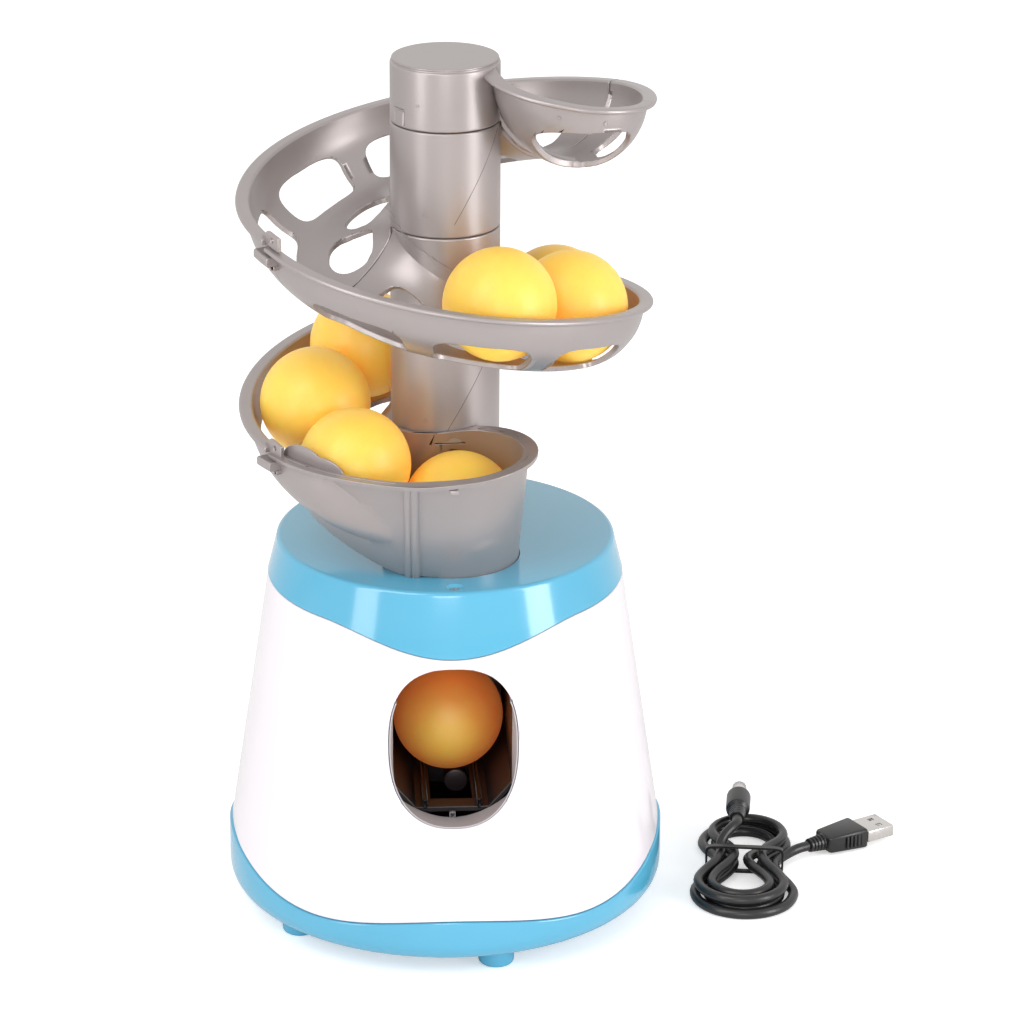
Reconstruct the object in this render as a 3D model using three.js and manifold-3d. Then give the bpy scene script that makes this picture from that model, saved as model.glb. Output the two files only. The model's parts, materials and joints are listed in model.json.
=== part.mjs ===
// Table tennis robot: a conical body that launches balls, under a spiral track that queues them.
// Millimetres, +Z up, the front window faces -Y, the floor is at zero.
// The origin is on the floor under the middle of the body.

import * as THREE from 'three';
import { mergeVertices } from 'three/addons/utils/BufferGeometryUtils.js';
import Module from 'manifold-3d';

const wasm = await Module();
wasm.setup();

// Fits and shares used everywhere
const gap = 0.3;
const halfGap = gap / 2;
const overrun = 1;
const fullTurn = 360;
const halfTurn = 180;
const quarterTurn = 90;
const degree = Math.PI / halfTurn;

// Balls
const ballRadius = 19.9;
const ballGap = 0.15;
const queueBalls = 7;
const ballStepsAcross = 12;
const ballStepsDown = 8;

// Column and spiral track
const columnRadius = 19.5;
const columnWall = 2;
const sectionHeight = 38.15;
const columnFootZ = 183.4;
const sectionCount = 3;
const spigotLength = 6;
const spigotWall = 2;
const pathRadius = 46.65;
const ballAboveSeam = 0.6;
const jointAngle = 209;
const trackRadius = 22.3;
const trackWall = 1.9;
const rimWidth = 3.15;
const rimRadius = pathRadius + trackRadius + trackWall + rimWidth;
const rimRise = 2.8;
const rimThickness = 1.8;
const seamSweepAngle = 13;
const trackSteps = 10;

// Windows in the track
const windowPitchAngle = 40;
const windowsPerSection = 4;
const outerWindow = { halfAngle: 15.5, top: -29, bottom: -75, power: 4.5 };
const innerWindow = { halfAngle: 17, top: -101, bottom: -138, power: 2.6 };
const windowPoints = 8;

// Cap and loading bowl
const capHeight = 22.65;
const capTopZ = columnFootZ + sectionHeight * sectionCount + capHeight;
const capRadius = 19.4;
const capEdge = 1;
const capTopWall = 2.2;
const bowlEndAngle = -12;
const bowlTipRise = 7;
const bowlSteps = 12;
const bowlSlotAngle = 3;
const bowlSlotPlace = 12;
const bowlSlotDepth = 13;
const bowlFrontWindow = { middle: 78, halfAngle: 40, top: -33, bottom: -66, power: 3 };
const bowlBackWindow = { halfAngle: 13, top: -33, bottom: -72, power: 3.5 };

// Hopper and feed tube
const hopperRimZ = 187.2;
const hopperWall = 2;
const feedX = 1;
const feedY = -22.5;
const feedRadius = 24.5;
const hopperFootRadius = 46.6;
const hopperFloorZ = 160;
const hopperCornerAngle = 248;
const hopperEndAngle = 273.9;
const feedTubeEndZ = 108;
const hopperFlangeWidth = 4.2;
const hopperFlangeThickness = 2.1;
const twinRibRadius = 1.5;
const twinRibAngle = 260;
const guardRise = 6.5;
const guardThickness = 1.5;
const guardStartAngle = 215;
const guardSweep = 21;
const entrySweep = 27;
const entryNarrowShare = 0.22;
const hopperBackReach = 3.4;
const hopperBallX = 3.5;
const hopperBallY = -33.9;
const hopperBallZ = 165.2;

// Body, cover and tray
const coverTopZ = 143.2;
const coverTopRadius = 61.3;
const coverEdge = 1.8;
const skirtFlare = 3.2;
const skirtRadius = coverTopRadius + skirtFlare;
const skirtZ = 128.5;
const skirtBendZ = 129.5;
const skirtDip = 8.8;
const skirtDipAngle = 46;
const coverWall = 2.2;
const skirtStep = 0.1;
const bodyTopRadius = skirtRadius - skirtStep;
const bodyLowZ = 28.5;
const trayRadius = 80;
const bodyLowRadius = trayRadius - 2 * gap;
const bodyWall = 2;
const bodySpigotTopZ = 138;
const bodyFootZ = 15.8;
const coverScrewInset = 6;
const coverScrewRadius = coverTopRadius - coverScrewInset;
const coverScrewAngle = -89;
const coverScrews = 2;
const coverBossRadius = 3.4;
const coverBossDepth = 20;
const trayWall = 2.2;
const trayBottomZ = 8;
const trayFloor = 2.2;
const trayBendRise = 7.5;
const trayBendWidth = 6;
const trayRimMean = 23.65;
const trayRimWave = 3.85;
const trayRimTilt = 3.5;
const footRadius = 6.5;
const footInset = 15.5;
const footCircle = trayRadius - footInset;
const footAngle = -76;
const footCount = 5;
const footEdge = 1.2;
const footSides = 12;
const screwPostRadius = 3.6;
const screwPostInset = 11;
const screwPostCircle = trayRadius - screwPostInset;
const screwPostTurn = 54;
const screwPostTopZ = 34;
const screwRibLowZ = 20;
const roundSteps = 36;
const columnSteps = 20;

// Screws
const screwRadius = 1.3;
const screwHeadRadius = 2.6;
const screwHeadHeight = 1.8;
const smallHeadRadius = 2.1;
const screwSides = 8;
const hopperScrewAngles = [-45, 225, 150];
const hopperScrewGrip = 1.4;

// Launch window and chute
const windowHalfWidth = 23.1;
const windowLowZ = 58.4;
const windowHighZ = 116.2;
const windowPower = 2.45;
const windowRoundPoints = 24;
const chuteWall = 1.3;
const chuteBackInset = 22.5;
const chuteBackY = chuteBackInset - trayRadius;
const chuteTopZ = 98;

// Launcher
const launchZ = 80.3;
const strikerStroke = 24;
const sectorTravel = 140;
const headRadius = 11;
const headThickness = 6;
const springSeatRadius = 8;
const springSeatThickness = 3.1;
const rodRadius = 4;
const rodEndY = 43;
const springWire = 1;
const springRadius = 6.6;
const springTurns = 5;
const springStepsPerTurn = 8;
const springSides = 5;
const guideY = 37;
const guideThickness = 4;
const guideLowZ = 71;
const bushWall = 1.6;
const rackHalfWidth = 3;
const rackThickness = 3.4;
const rackBackY = 38;
const rackStartY = 4.6;
const toothPitchAngle = 20;
const toothAddendum = 0.75;
const toothRootHalf = 0.95;
const toothTipHalf = 0.42;
const pitchLineZ = 64.3;
const gearHalfWidth = 2.6;
const gearY = 33;
const gearHubRadius = 5;
const gearHubHalfWidth = 5;
const gearTeethBehind = 2;
const gearTeethAhead = 9;
const shaftRadius = 2.5;
const gateThickness = 2.5;
const gateHalfWidth = 17;
const gateReach = 5;
const gateBackY = 24;
const gateArmHalfWidth = 5;

// Cradle and mechanism frame
const cradleHalfWidth = 21.2;
const cradleWall = 2;
const cradleTopZ = 101;
const cradleBackY = 1.5;
const cradleFloorZ = 59.2;
const cradleFloorHalf = 13;
const cradleBendZ = 68.8;
const cradleSlotHalf = 7.5;
const cradleSlotStartY = -50;
const cradleSlotEndY = -4;
const railHalfSpacing = 9.7;
const railWidth = 2;
const cheekThickness = 2.5;
const cheekTopZ = 92;
const cheekFrontY = -30;
const frameBackY = 47;
const frameFrontY = -37;
const frameHalfWidth = 37;
const frameDeckZ = 29;
const frameDeckThickness = 2.5;
const frameLegSize = 6;
const bossRadius = 4.2;
const bossX = 2.9;
const bossZ = 53.4;
const bossFrontY = -22;
const bridgeFrontY = -14.5;
const bridgeThickness = 4;
const bridgeLowZ = 49.5;
const bridgeHighZ = 56.5;
const frameScrewYs = [-22, -6];
const frameScrewZ = 86;

// Drive
const gearboxLength = 16;
const gearboxFrontY = 12;
const gearboxBackY = 44;
const gearboxHalfHeight = 13;
const shaftSocketDepth = 4;
const shaftOverhang = 1.2;
const motorRadius = 10.2;
const motorEndClearance = 11.2;
const motorY = 22;
const motorEndRadius = 4;
const motorEndLength = 1.6;

// Power
const batteryHalfX = 30;
const batteryHalfY = 28.5;
const batteryHeight = 16.5;
const batteryWall = 1.6;
const doorOverlap = 3;
const doorThickness = 1.8;
const doorRibs = 5;
const doorRibSize = 0.6;
const doorRibSpacing = 3.2;
const doorTongueHalf = 6;
const doorTongueY = 20;
const doorTongueThickness = 2;
const contactHalfWidth = 4.5;
const contactHeight = 11;
const contactThickness = 0.8;
const contactSpacing = 14.6;
const cellCount = 4;
const boardClearance = 3.4;
const boardFarX = boardClearance + trayWall + bodyWall - trayRadius;
const boardX = (boardFarX - batteryHalfX - batteryWall) / 2;
const boardHalfX = 9;
const boardHalfY = 17;
const boardThickness = 1.6;
const boardZ = 16;
const boardPegRadius = 2.5;
const boardPegY = 11;
const panelHalfWidth = 20;
const panelTopZ = 52;
const panelThickness = 2;
const panelClearance = 0.5;
const panelWindowHalfWidth = 17;
const panelWindowLowZ = 31;
const panelWindowHighZ = 47;
const controlZ = 39;
const switchX = -8;
const switchTravel = 4;
const switchHalfWidth = 7;
const switchHalfHeight = 4;
const switchDepth = 8;
const knobHalfWidth = 2.5;
const knobHalfHeight = 2;
const knobDepth = 2.5;
const knobReach = 2.6;
const jackX = 9;
const jackHalfSize = 5.2;
const jackDepth = 11;
const jackNoseRadius = 4.6;
const jackNoseReach = 0.9;
const jackBoreRadius = 3.1;
const jackBoreDepth = 9;

// Cable, its plugs and its tie
const cableDiameter = 3.8;
const cableSides = 6;
const hankX = 113;
const hankY = 6;
const hankLean = -8;
const hankLoops = 3.5;
const hankHalfRun = 21;
const hankOuterHalf = 19.6;
const hankStep = 5.05;
const hankWaist = 8.2;
const hankTieLift = 1.4;
const layerStep = 4.4;
const runStepsShare = 3;
const turnStepsShare = 6;
const tieThickness = 0.8;
const tieHalfWidth = 1.1;
const tieHalfSpan = 14.7;
const tieHeight = 10.8;
const tiePower = 8;
const barrelPlug = { along: 17, across: -3.5, height: 14.3, radius: 4.6, length: 13, reliefRadius: 3,
  relief: 6.5 };
const barrelRoute = [[-8.9, 1.6, 7.8], [-9.1, 4.2, 9.6], [-7.6, 7.2, 12], [-4.9, 10.5, 13.9]];
const barrelSleeve = { radius: 2.75, length: 8.5, boreRadius: 1.3 };
const usbPlug = { along: 16, across: 23.4, height: 4.4, halfWidth: 6.6, halfHeight: 3.9, length: 17,
  relief: 7, turn: -53, reliefRadius: 2.9 };
const usbRoute = [[17.6, 11.6, 3.9], [14.4, 8, 3.4], [12.2, 4, 3.3]];
const usbShell = { halfWidth: 6, halfHeight: 2.25, length: 12, wall: 0.4 };

const colours = {
  silver: '#a39c9b',
  blue: '#79cbea',
  white: '#f6f3f7',
  black: '#1b191b',
  ball: '#ffb640',
  metal: '#b9b9bb',
  board: '#2f6b45',
};
const silverFinish = { color: colours.silver, roughness: 0.38, metalness: 0.25 };
const blueFinish = { color: colours.blue, roughness: 0.2, metalness: 0 };
const whiteFinish = { color: colours.white, roughness: 0.22, metalness: 0 };
const blackFinish = { color: colours.black, roughness: 0.5, metalness: 0 };
const ballFinish = { color: colours.ball, roughness: 0.6, metalness: 0 };
const metalFinish = { color: colours.metal, roughness: 0.3, metalness: 0.9 };
const boardFinish = { color: colours.board, roughness: 0.6, metalness: 0 };

const model = new THREE.Group();

// Solids: closed meshes are welded, turned face out, and joined or cut as manifolds.
function solidOf(source) {
  const geometry = source.clone();
  geometry.deleteAttribute('normal');
  geometry.deleteAttribute('uv');
  const welded = mergeVertices(geometry, halfGap / fullTurn);
  const place = welded.attributes.position.array;
  const corners = welded.index.array;
  const kept = [];
  let volume = 0;
  for (let i = 0; i < corners.length; i += 3) {
    const [a, b, c] = [corners[i], corners[i + 1], corners[i + 2]];
    if (a === b || b === c || c === a) continue;
    kept.push(a, b, c);
    const [p, q, r] = [a, b, c].map((k) => new THREE.Vector3().fromArray(place, k * 3));
    volume += p.dot(q.cross(r));
  }
  if (volume < 0) kept.reverse();
  const vertProperties = new Float32Array(place);
  const triVerts = new Uint32Array(kept);
  return new wasm.Manifold(new wasm.Mesh({ numProp: 3, vertProperties, triVerts }));
}

const join = (...parts) => parts.reduce((whole, part) => whole.add(part));
const cut = (whole, ...tools) => tools.reduce((left, tool) => left.subtract(tool), whole);

// The largest body of a solid: cuts that cross can leave thin scraps beside it.
const mainBody = (solid) => solid.decompose().reduce((most, body) => (
  body.volume() > most.volume() ? body : most));

function geometryOf(solid) {
  const mesh = solid.getMesh();
  const flat = new THREE.BufferGeometry();
  const points = new Float32Array((mesh.vertProperties.length / mesh.numProp) * 3);
  for (let i = 0; i * mesh.numProp < mesh.vertProperties.length; i += 1) {
    points.set(mesh.vertProperties.subarray(i * mesh.numProp, i * mesh.numProp + 3), i * 3);
  }
  flat.setAttribute('position', new THREE.BufferAttribute(points, 3));
  flat.setIndex(new THREE.BufferAttribute(new Uint32Array(mesh.triVerts), 1));
  flat.computeVertexNormals();
  return flat;
}

function addPiece(name, solid, finish) {
  const mesh = new THREE.Mesh(geometryOf(solid), new THREE.MeshStandardMaterial(finish));
  mesh.name = name;
  model.add(mesh);
}

// Plain shapes
function block(lowX, highX, lowY, highY, lowZ, highZ) {
  const box = new THREE.BoxGeometry(highX - lowX, highY - lowY, highZ - lowZ);
  return solidOf(box.translate((lowX + highX) / 2, (lowY + highY) / 2, (lowZ + highZ) / 2));
}

function post(x, y, radius, lowZ, highZ, sides = 24) {
  const drum = new THREE.CylinderGeometry(radius, radius, highZ - lowZ, sides).rotateX(quarterTurn * degree);
  return solidOf(drum.translate(x, y, (lowZ + highZ) / 2));
}

function barY(x, z, radius, lowY, highY, sides = 20) {
  const drum = new THREE.CylinderGeometry(radius, radius, highY - lowY, sides);
  return solidOf(drum.translate(x, (lowY + highY) / 2, z));
}

function barX(y, z, radius, lowX, highX, sides = 20) {
  const drum = new THREE.CylinderGeometry(radius, radius, highX - lowX, sides).rotateZ(quarterTurn * degree);
  return solidOf(drum.translate((lowX + highX) / 2, y, z));
}

function strut(from, to, radius, sides = 10) {
  const way = new THREE.Vector3().subVectors(to, from);
  const drum = new THREE.CylinderGeometry(radius, radius, way.length(), sides);
  drum.applyQuaternion(new THREE.Quaternion().setFromUnitVectors(
    new THREE.Vector3(0, 1, 0), way.clone().normalize()));
  const middle = new THREE.Vector3().addVectors(from, to).divideScalar(2);
  return solidOf(drum.translate(middle.x, middle.y, middle.z));
}

// A lathe whose closed profile, a list of [radius, height], may change round the axis.
function spin(profileAt, steps = roundSteps) {
  const profile = typeof profileAt === 'function' ? profileAt : () => profileAt;
  const points = profile(0).map(([radius, height]) => new THREE.Vector2(radius, height));
  const closed = points[0].x > 0 || points[points.length - 1].x > 0;
  if (closed) points.push(points[0].clone());
  const lathe = new THREE.LatheGeometry(points, steps);
  const position = lathe.attributes.position;
  for (let i = 0; i < position.count; i += 1) {
    const turn = (Math.floor(i / points.length) % steps) * (fullTurn / steps);
    const angle = turn - quarterTurn;
    const outline = profile(angle);
    const [radius, height] = outline[(i % points.length) % outline.length];
    const way = angle * degree;
    position.setXYZ(i, radius * Math.cos(way), radius * Math.sin(way), height);
  }
  return solidOf(lathe);
}

const onCylinder = (radius, angle, height) => new THREE.Vector3(
  radius * Math.cos(angle * degree), radius * Math.sin(angle * degree), height);

// An outline in radius and height, extruded through an angle and bent round the axis.
function sweepRound(outline, startAngle, endAngle, steps, place = onCylinder) {
  const settings = { depth: endAngle - startAngle, steps, bevelEnabled: false };
  const geometry = new THREE.ExtrudeGeometry(new THREE.Shape(outline), settings);
  const position = geometry.attributes.position;
  for (let i = 0; i < position.count; i += 1) {
    const angle = startAngle + position.getZ(i);
    const point = place(position.getX(i), angle, position.getY(i));
    position.setXYZ(i, point.x, point.y, point.z);
  }
  return solidOf(geometry);
}

// A flat outline extruded upwards, between two heights; place may move each corner.
function prism(outline, lowZ, highZ, place = (point) => point) {
  const settings = { depth: highZ - lowZ, steps: 1, bevelEnabled: false };
  const geometry = new THREE.ExtrudeGeometry(new THREE.Shape(outline), settings);
  const position = geometry.attributes.position;
  for (let i = 0; i < position.count; i += 1) {
    const point = place(new THREE.Vector3(position.getX(i), position.getY(i), lowZ + position.getZ(i)));
    position.setXYZ(i, point.x, point.y, point.z);
  }
  return solidOf(geometry);
}

const arcPoints = (x, y, radius, startAngle, endAngle, steps) => Array.from(
  { length: steps + 1 }, (_, i) => {
    const way = (startAngle + ((endAngle - startAngle) * i) / steps) * degree;
    return new THREE.Vector2(x + radius * Math.cos(way), y + radius * Math.sin(way));
  });

// The path of the ball centres: height falls steadily as the angle grows.
const pitch = 2 * sectionHeight;
const pathHeight = (angle) => columnFootZ + ballAboveSeam - (pitch * (angle - jointAngle)) / fullTurn;
const trackLift = trackRadius - ballRadius - gap;
const innerReach = pathRadius - columnRadius + columnWall / 2;

// The radial seam between two sections leans back where the track climbs to the column.
const seamStartRadius = pathRadius - trackRadius / 4;
function seamLean(radius) {
  const share = (seamStartRadius - radius) / (seamStartRadius - columnRadius);
  return seamSweepAngle * Math.min(Math.max(share, 0), 1);
}
const onTrack = (radius, angle, height) => {
  const leaned = angle - seamLean(radius);
  return onCylinder(radius, leaned, pathHeight(leaned) + height);
};

// A point of the track's section, at an angle from outwards (0) through down (-90) to the column.
function sectionPoint(angle, wall = 0) {
  const reach = angle > -quarterTurn ? trackRadius : innerReach;
  return new THREE.Vector2(
    pathRadius + (reach + wall) * Math.cos(angle * degree),
    trackLift + (trackRadius + wall) * Math.sin(angle * degree));
}

const sectionStepShares = 9;
function trackOutline() {
  const inside = [];
  const outside = [];
  for (let i = 0; i <= sectionStepShares; i += 1) {
    const angle = (-halfTurn * i) / sectionStepShares;
    inside.push(sectionPoint(angle));
    if (i > 0) outside.unshift(sectionPoint(angle, trackWall));
  }
  const wallRadius = pathRadius + trackRadius;
  const flange = [
    new THREE.Vector2(wallRadius + trackWall, rimRise - rimThickness),
    new THREE.Vector2(rimRadius, rimRise - rimThickness),
    new THREE.Vector2(rimRadius, rimRise),
    new THREE.Vector2(wallRadius, rimRise),
  ];
  return [...inside, ...outside, ...flange];
}

// Window cutters follow the track: an oval in turn angle and section angle, pushed through the wall.
function oval(halfX, halfY, power, points) {
  return Array.from({ length: points }, (_, i) => {
    const way = ((i + 0.5) / points) * fullTurn * degree;
    const stretch = (value) => Math.sign(value) * Math.abs(value) ** (2 / power);
    return new THREE.Vector2(halfX * stretch(Math.cos(way)), halfY * stretch(Math.sin(way)));
  });
}

function trackWindow(middleAngle, shape, place = onTrackCentre) {
  const middle = (shape.top + shape.bottom) / 2;
  const outline = oval(shape.halfAngle, (shape.top - shape.bottom) / 2, shape.power, windowPoints);
  const settings = { depth: 1, steps: 1, bevelEnabled: false };
  const geometry = new THREE.ExtrudeGeometry(new THREE.Shape(outline), settings);
  const position = geometry.attributes.position;
  const reach = trackWall + 2 * overrun;
  for (let i = 0; i < position.count; i += 1) {
    const wall = position.getZ(i) * 2 * reach - reach / 2;
    const spot = sectionPoint(middle + position.getY(i), wall);
    const point = place(spot, middleAngle + position.getX(i));
    position.setXYZ(i, point.x, point.y, point.z);
  }
  return solidOf(geometry);
}
const onTrackCentre = (spot, angle) => onCylinder(spot.x, angle, pathHeight(angle) + spot.y);

// A length of hollow column with a spigot on top.
function columnPiece(lowZ, highZ) {
  const bore = columnRadius - columnWall;
  const spigot = bore - gap;
  const spigotBore = spigot - spigotWall;
  const root = highZ - spigotLength / 2;
  return spin([
    [columnRadius, lowZ],
    [columnRadius, highZ],
    [spigot, highZ],
    [spigot, highZ + spigotLength],
    [spigotBore, highZ + spigotLength],
    [spigotBore, root],
    [bore, root - columnWall],
    [bore, lowZ],
  ], columnSteps);
}

function keepOffColumn(track, lowZ, highZ) {
  const reach = pitch;
  const core = post(0, 0, columnRadius - columnWall / 2, lowZ - reach, highZ + reach, columnSteps);
  const below = post(0, 0, columnRadius + gap, lowZ - reach, lowZ - halfGap, columnSteps);
  const above = post(0, 0, columnRadius + gap, highZ + halfGap, highZ + reach, columnSteps);
  return cut(track, core, below, above);
}

// The clip at a joint: a lug under the rim of the lower piece.
const lugWidthAngle = 4;
const lugReach = 1.8;
const lugHeight = 5;
function lug(startAngle) {
  const low = rimRise - rimThickness - lugHeight;
  const inner = pathRadius + trackRadius + trackWall / 2;
  const outline = [
    new THREE.Vector2(inner, low),
    new THREE.Vector2(rimRadius, low),
    new THREE.Vector2(rimRadius + lugReach, low + lugReach),
    new THREE.Vector2(rimRadius + lugReach, rimRise),
    new THREE.Vector2(inner, rimRise),
  ];
  return sweepRound(outline, startAngle, startAngle + lugWidthAngle, 2, onTrack);
}

const seamGapAngle = 0.4;
const sectionNames = ['spiral_lower', 'spiral_middle', 'spiral_upper'];
function addSpiralSections() {
  for (let k = 0; k < sectionCount; k += 1) {
    const end = jointAngle - halfTurn * k;
    const start = end - halfTurn;
    const lowZ = columnFootZ + sectionHeight * k;
    const highZ = lowZ + sectionHeight;
    const track = sweepRound(trackOutline(), start + seamGapAngle, end - seamGapAngle, trackSteps, onTrack);
    const windows = [];
    for (let i = 0; i < windowsPerSection; i += 1) {
      const middle = start + quarterTurn + (i - (windowsPerSection - 1) / 2) * windowPitchAngle;
      windows.push(trackWindow(middle, outerWindow), trackWindow(middle, innerWindow));
    }
    const trimmed = keepOffColumn(cut(track, ...windows), lowZ, highZ);
    const clip = lug(start + seamGapAngle);
    const piece = join(trimmed, clip, columnPiece(lowZ + halfGap, highZ - halfGap));
    addPiece(sectionNames[k], piece, silverFinish);
  }
}

// The cap: a closed length of column with a bowl, which is a short climb of track with a round end.
function addCap() {
  const lowZ = columnFootZ + sectionHeight * sectionCount;
  const joint = jointAngle - halfTurn * sectionCount;
  const end = bowlEndAngle - fullTurn;
  const climbSteps = 6;
  const climbPlace = (radius, angle, height) => {
    const lean = seamLean(radius) * ((angle - end) / (joint - end));
    return onCylinder(radius, angle - lean, pathHeight(angle - lean) + height);
  };
  const climb = sweepRound(
    trackOutline(), end - seamGapAngle, joint - seamGapAngle, climbSteps, climbPlace);
  const centre = onCylinder(pathRadius, end, pathHeight(end));
  const outwards = onCylinder(1, end, 0);
  const sideways = onCylinder(1, end - quarterTurn, 0);
  const halfOutline = trackOutline().filter((point) => point.x >= pathRadius - halfGap);
  const bowl = sweepRound(halfOutline, 0, halfTurn, bowlSteps, (radius, angle, height) => {
    const reach = radius - pathRadius;
    const stretch = angle > quarterTurn ? innerReach / trackRadius : 1;
    const share = Math.max(0, angle / quarterTurn - 1);
    const highShare = Math.min(1, Math.max(0, 1 + height / trackRadius));
    return centre.clone()
      .addScaledVector(outwards, reach * stretch * Math.cos(angle * degree))
      .addScaledVector(sideways, reach * Math.sin(angle * degree))
      .setZ(centre.z + height + bowlTipRise * share * share * highShare);
  });
  const bowlPlace = (spot, angle) => {
    const reach = spot.x - pathRadius;
    return centre.clone()
      .addScaledVector(outwards, reach * Math.cos(angle * degree))
      .addScaledVector(sideways, reach * Math.sin(angle * degree))
      .setZ(centre.z + spot.y);
  };
  const slotMiddle = end + bowlSlotPlace + quarterTurn / 3;
  const wallRadius = pathRadius + trackRadius;
  const slot = sweepRound([
    new THREE.Vector2(wallRadius - overrun, -bowlSlotDepth),
    new THREE.Vector2(wallRadius + trackWall + overrun, -bowlSlotDepth),
    new THREE.Vector2(wallRadius + trackWall + overrun, -overrun),
    new THREE.Vector2(wallRadius - overrun, -overrun),
  ], slotMiddle, slotMiddle + bowlSlotAngle, 1, (radius, angle, height) => onCylinder(
    radius, angle, pathHeight(angle) + height));
  const tube = spin([
    [0, capTopZ],
    [capRadius - capEdge, capTopZ],
    [capRadius, capTopZ - capEdge],
    [capRadius, lowZ + halfGap],
    [columnRadius - columnWall, lowZ + halfGap],
    [columnRadius - columnWall, capTopZ - capTopWall],
    [0, capTopZ - capTopWall],
  ], columnSteps);
  const openings = [
    trackWindow(bowlFrontWindow.middle, bowlFrontWindow, bowlPlace),
    trackWindow(end + bowlSlotPlace, bowlBackWindow),
    slot,
  ];
  const shell = keepOffColumn(cut(join(climb, bowl), ...openings), lowZ, capTopZ + sectionHeight);
  addPiece('cap_bowl', join(shell, tube), silverFinish);
}

// The hopper: slanted walls from a wide rim to a round foot, a sloping floor, and the feed tube.
const hopperEnd = onCylinder(pathRadius, hopperEndAngle, 0);
function hopperPairs(inset) {
  const pairs = [];
  const outerSteps = 8;
  const endSteps = 14;
  const innerSteps = 5;
  const rim = pathRadius + trackRadius + trackWall - inset;
  const foot = hopperFootRadius - inset;
  const top = (x, y) => new THREE.Vector2(x, y);
  for (let i = 0; i < outerSteps; i += 1) {
    const angle = jointAngle + ((hopperEndAngle - jointAngle) * i) / outerSteps + seamGapAngle;
    const way = onCylinder(1, angle, 0);
    pairs.push([top(rim * way.x, rim * way.y), top(foot * way.x, foot * way.y)]);
  }
  const endRadius = trackRadius + trackWall - inset;
  const footRound = feedRadius - inset - gap;
  for (let i = 0; i <= endSteps; i += 1) {
    const way = onCylinder(1, hopperEndAngle - fullTurn + (halfTurn * i) / endSteps, 0);
    pairs.push([
      top(hopperEnd.x + endRadius * way.x,
        hopperEnd.y + endRadius * way.y + hopperBackReach * Math.max(way.y, 0)),
      top(feedX + footRound * way.x, feedY + footRound * way.y),
    ]);
  }
  const inner = inset > 0 ? columnRadius + inset : columnRadius - columnWall / 2;
  const backFoot = pairs[pairs.length - 1][1];
  const sideFoot = onCylinder(inner, jointAngle + seamGapAngle, 0);
  for (let i = 1; i <= innerSteps; i += 1) {
    const angle = hopperEndAngle + ((jointAngle + seamGapAngle - hopperEndAngle) * i) / innerSteps;
    const way = onCylinder(inner, angle, 0);
    const share = i / innerSteps;
    pairs.push([
      top(way.x, way.y),
      top(backFoot.x + (sideFoot.x - backFoot.x) * share, backFoot.y + (sideFoot.y - backFoot.y) * share),
    ]);
  }
  return pairs;
}

function loft(pairs, lowZ, highZ) {
  const outline = pairs.map(([upper]) => upper);
  const slantTop = hopperRimZ;
  const slantFoot = coverTopZ;
  return prism(outline, lowZ, highZ, (point) => {
    const match = pairs.find(([upper]) => upper.distanceTo(point) < halfGap / fullTurn);
    const share = (slantTop - point.z) / (slantTop - slantFoot);
    const shift = match[1].clone().sub(match[0]).multiplyScalar(share);
    return new THREE.Vector3(point.x + shift.x, point.y + shift.y, point.z);
  });
}

// Everything below the hopper's sloping floor, as a large turned block.
function belowFloor(lift) {
  const high = onCylinder(hopperFootRadius + trackRadius / 2, jointAngle, hopperFloorZ);
  const inner = onCylinder(columnRadius, jointAngle, hopperFloorZ);
  const corner = onCylinder(hopperFootRadius, hopperCornerAngle, coverTopZ);
  const normal = inner.clone().sub(high).cross(corner.clone().sub(high)).normalize();
  if (normal.z < 0) normal.negate();
  const size = pitch * 2;
  const slab = new THREE.BoxGeometry(size, size, size).translate(0, 0, lift - size / 2);
  slab.applyQuaternion(new THREE.Quaternion().setFromUnitVectors(new THREE.Vector3(0, 0, 1), normal));
  return solidOf(slab.translate(high.x, high.y, high.z));
}

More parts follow.
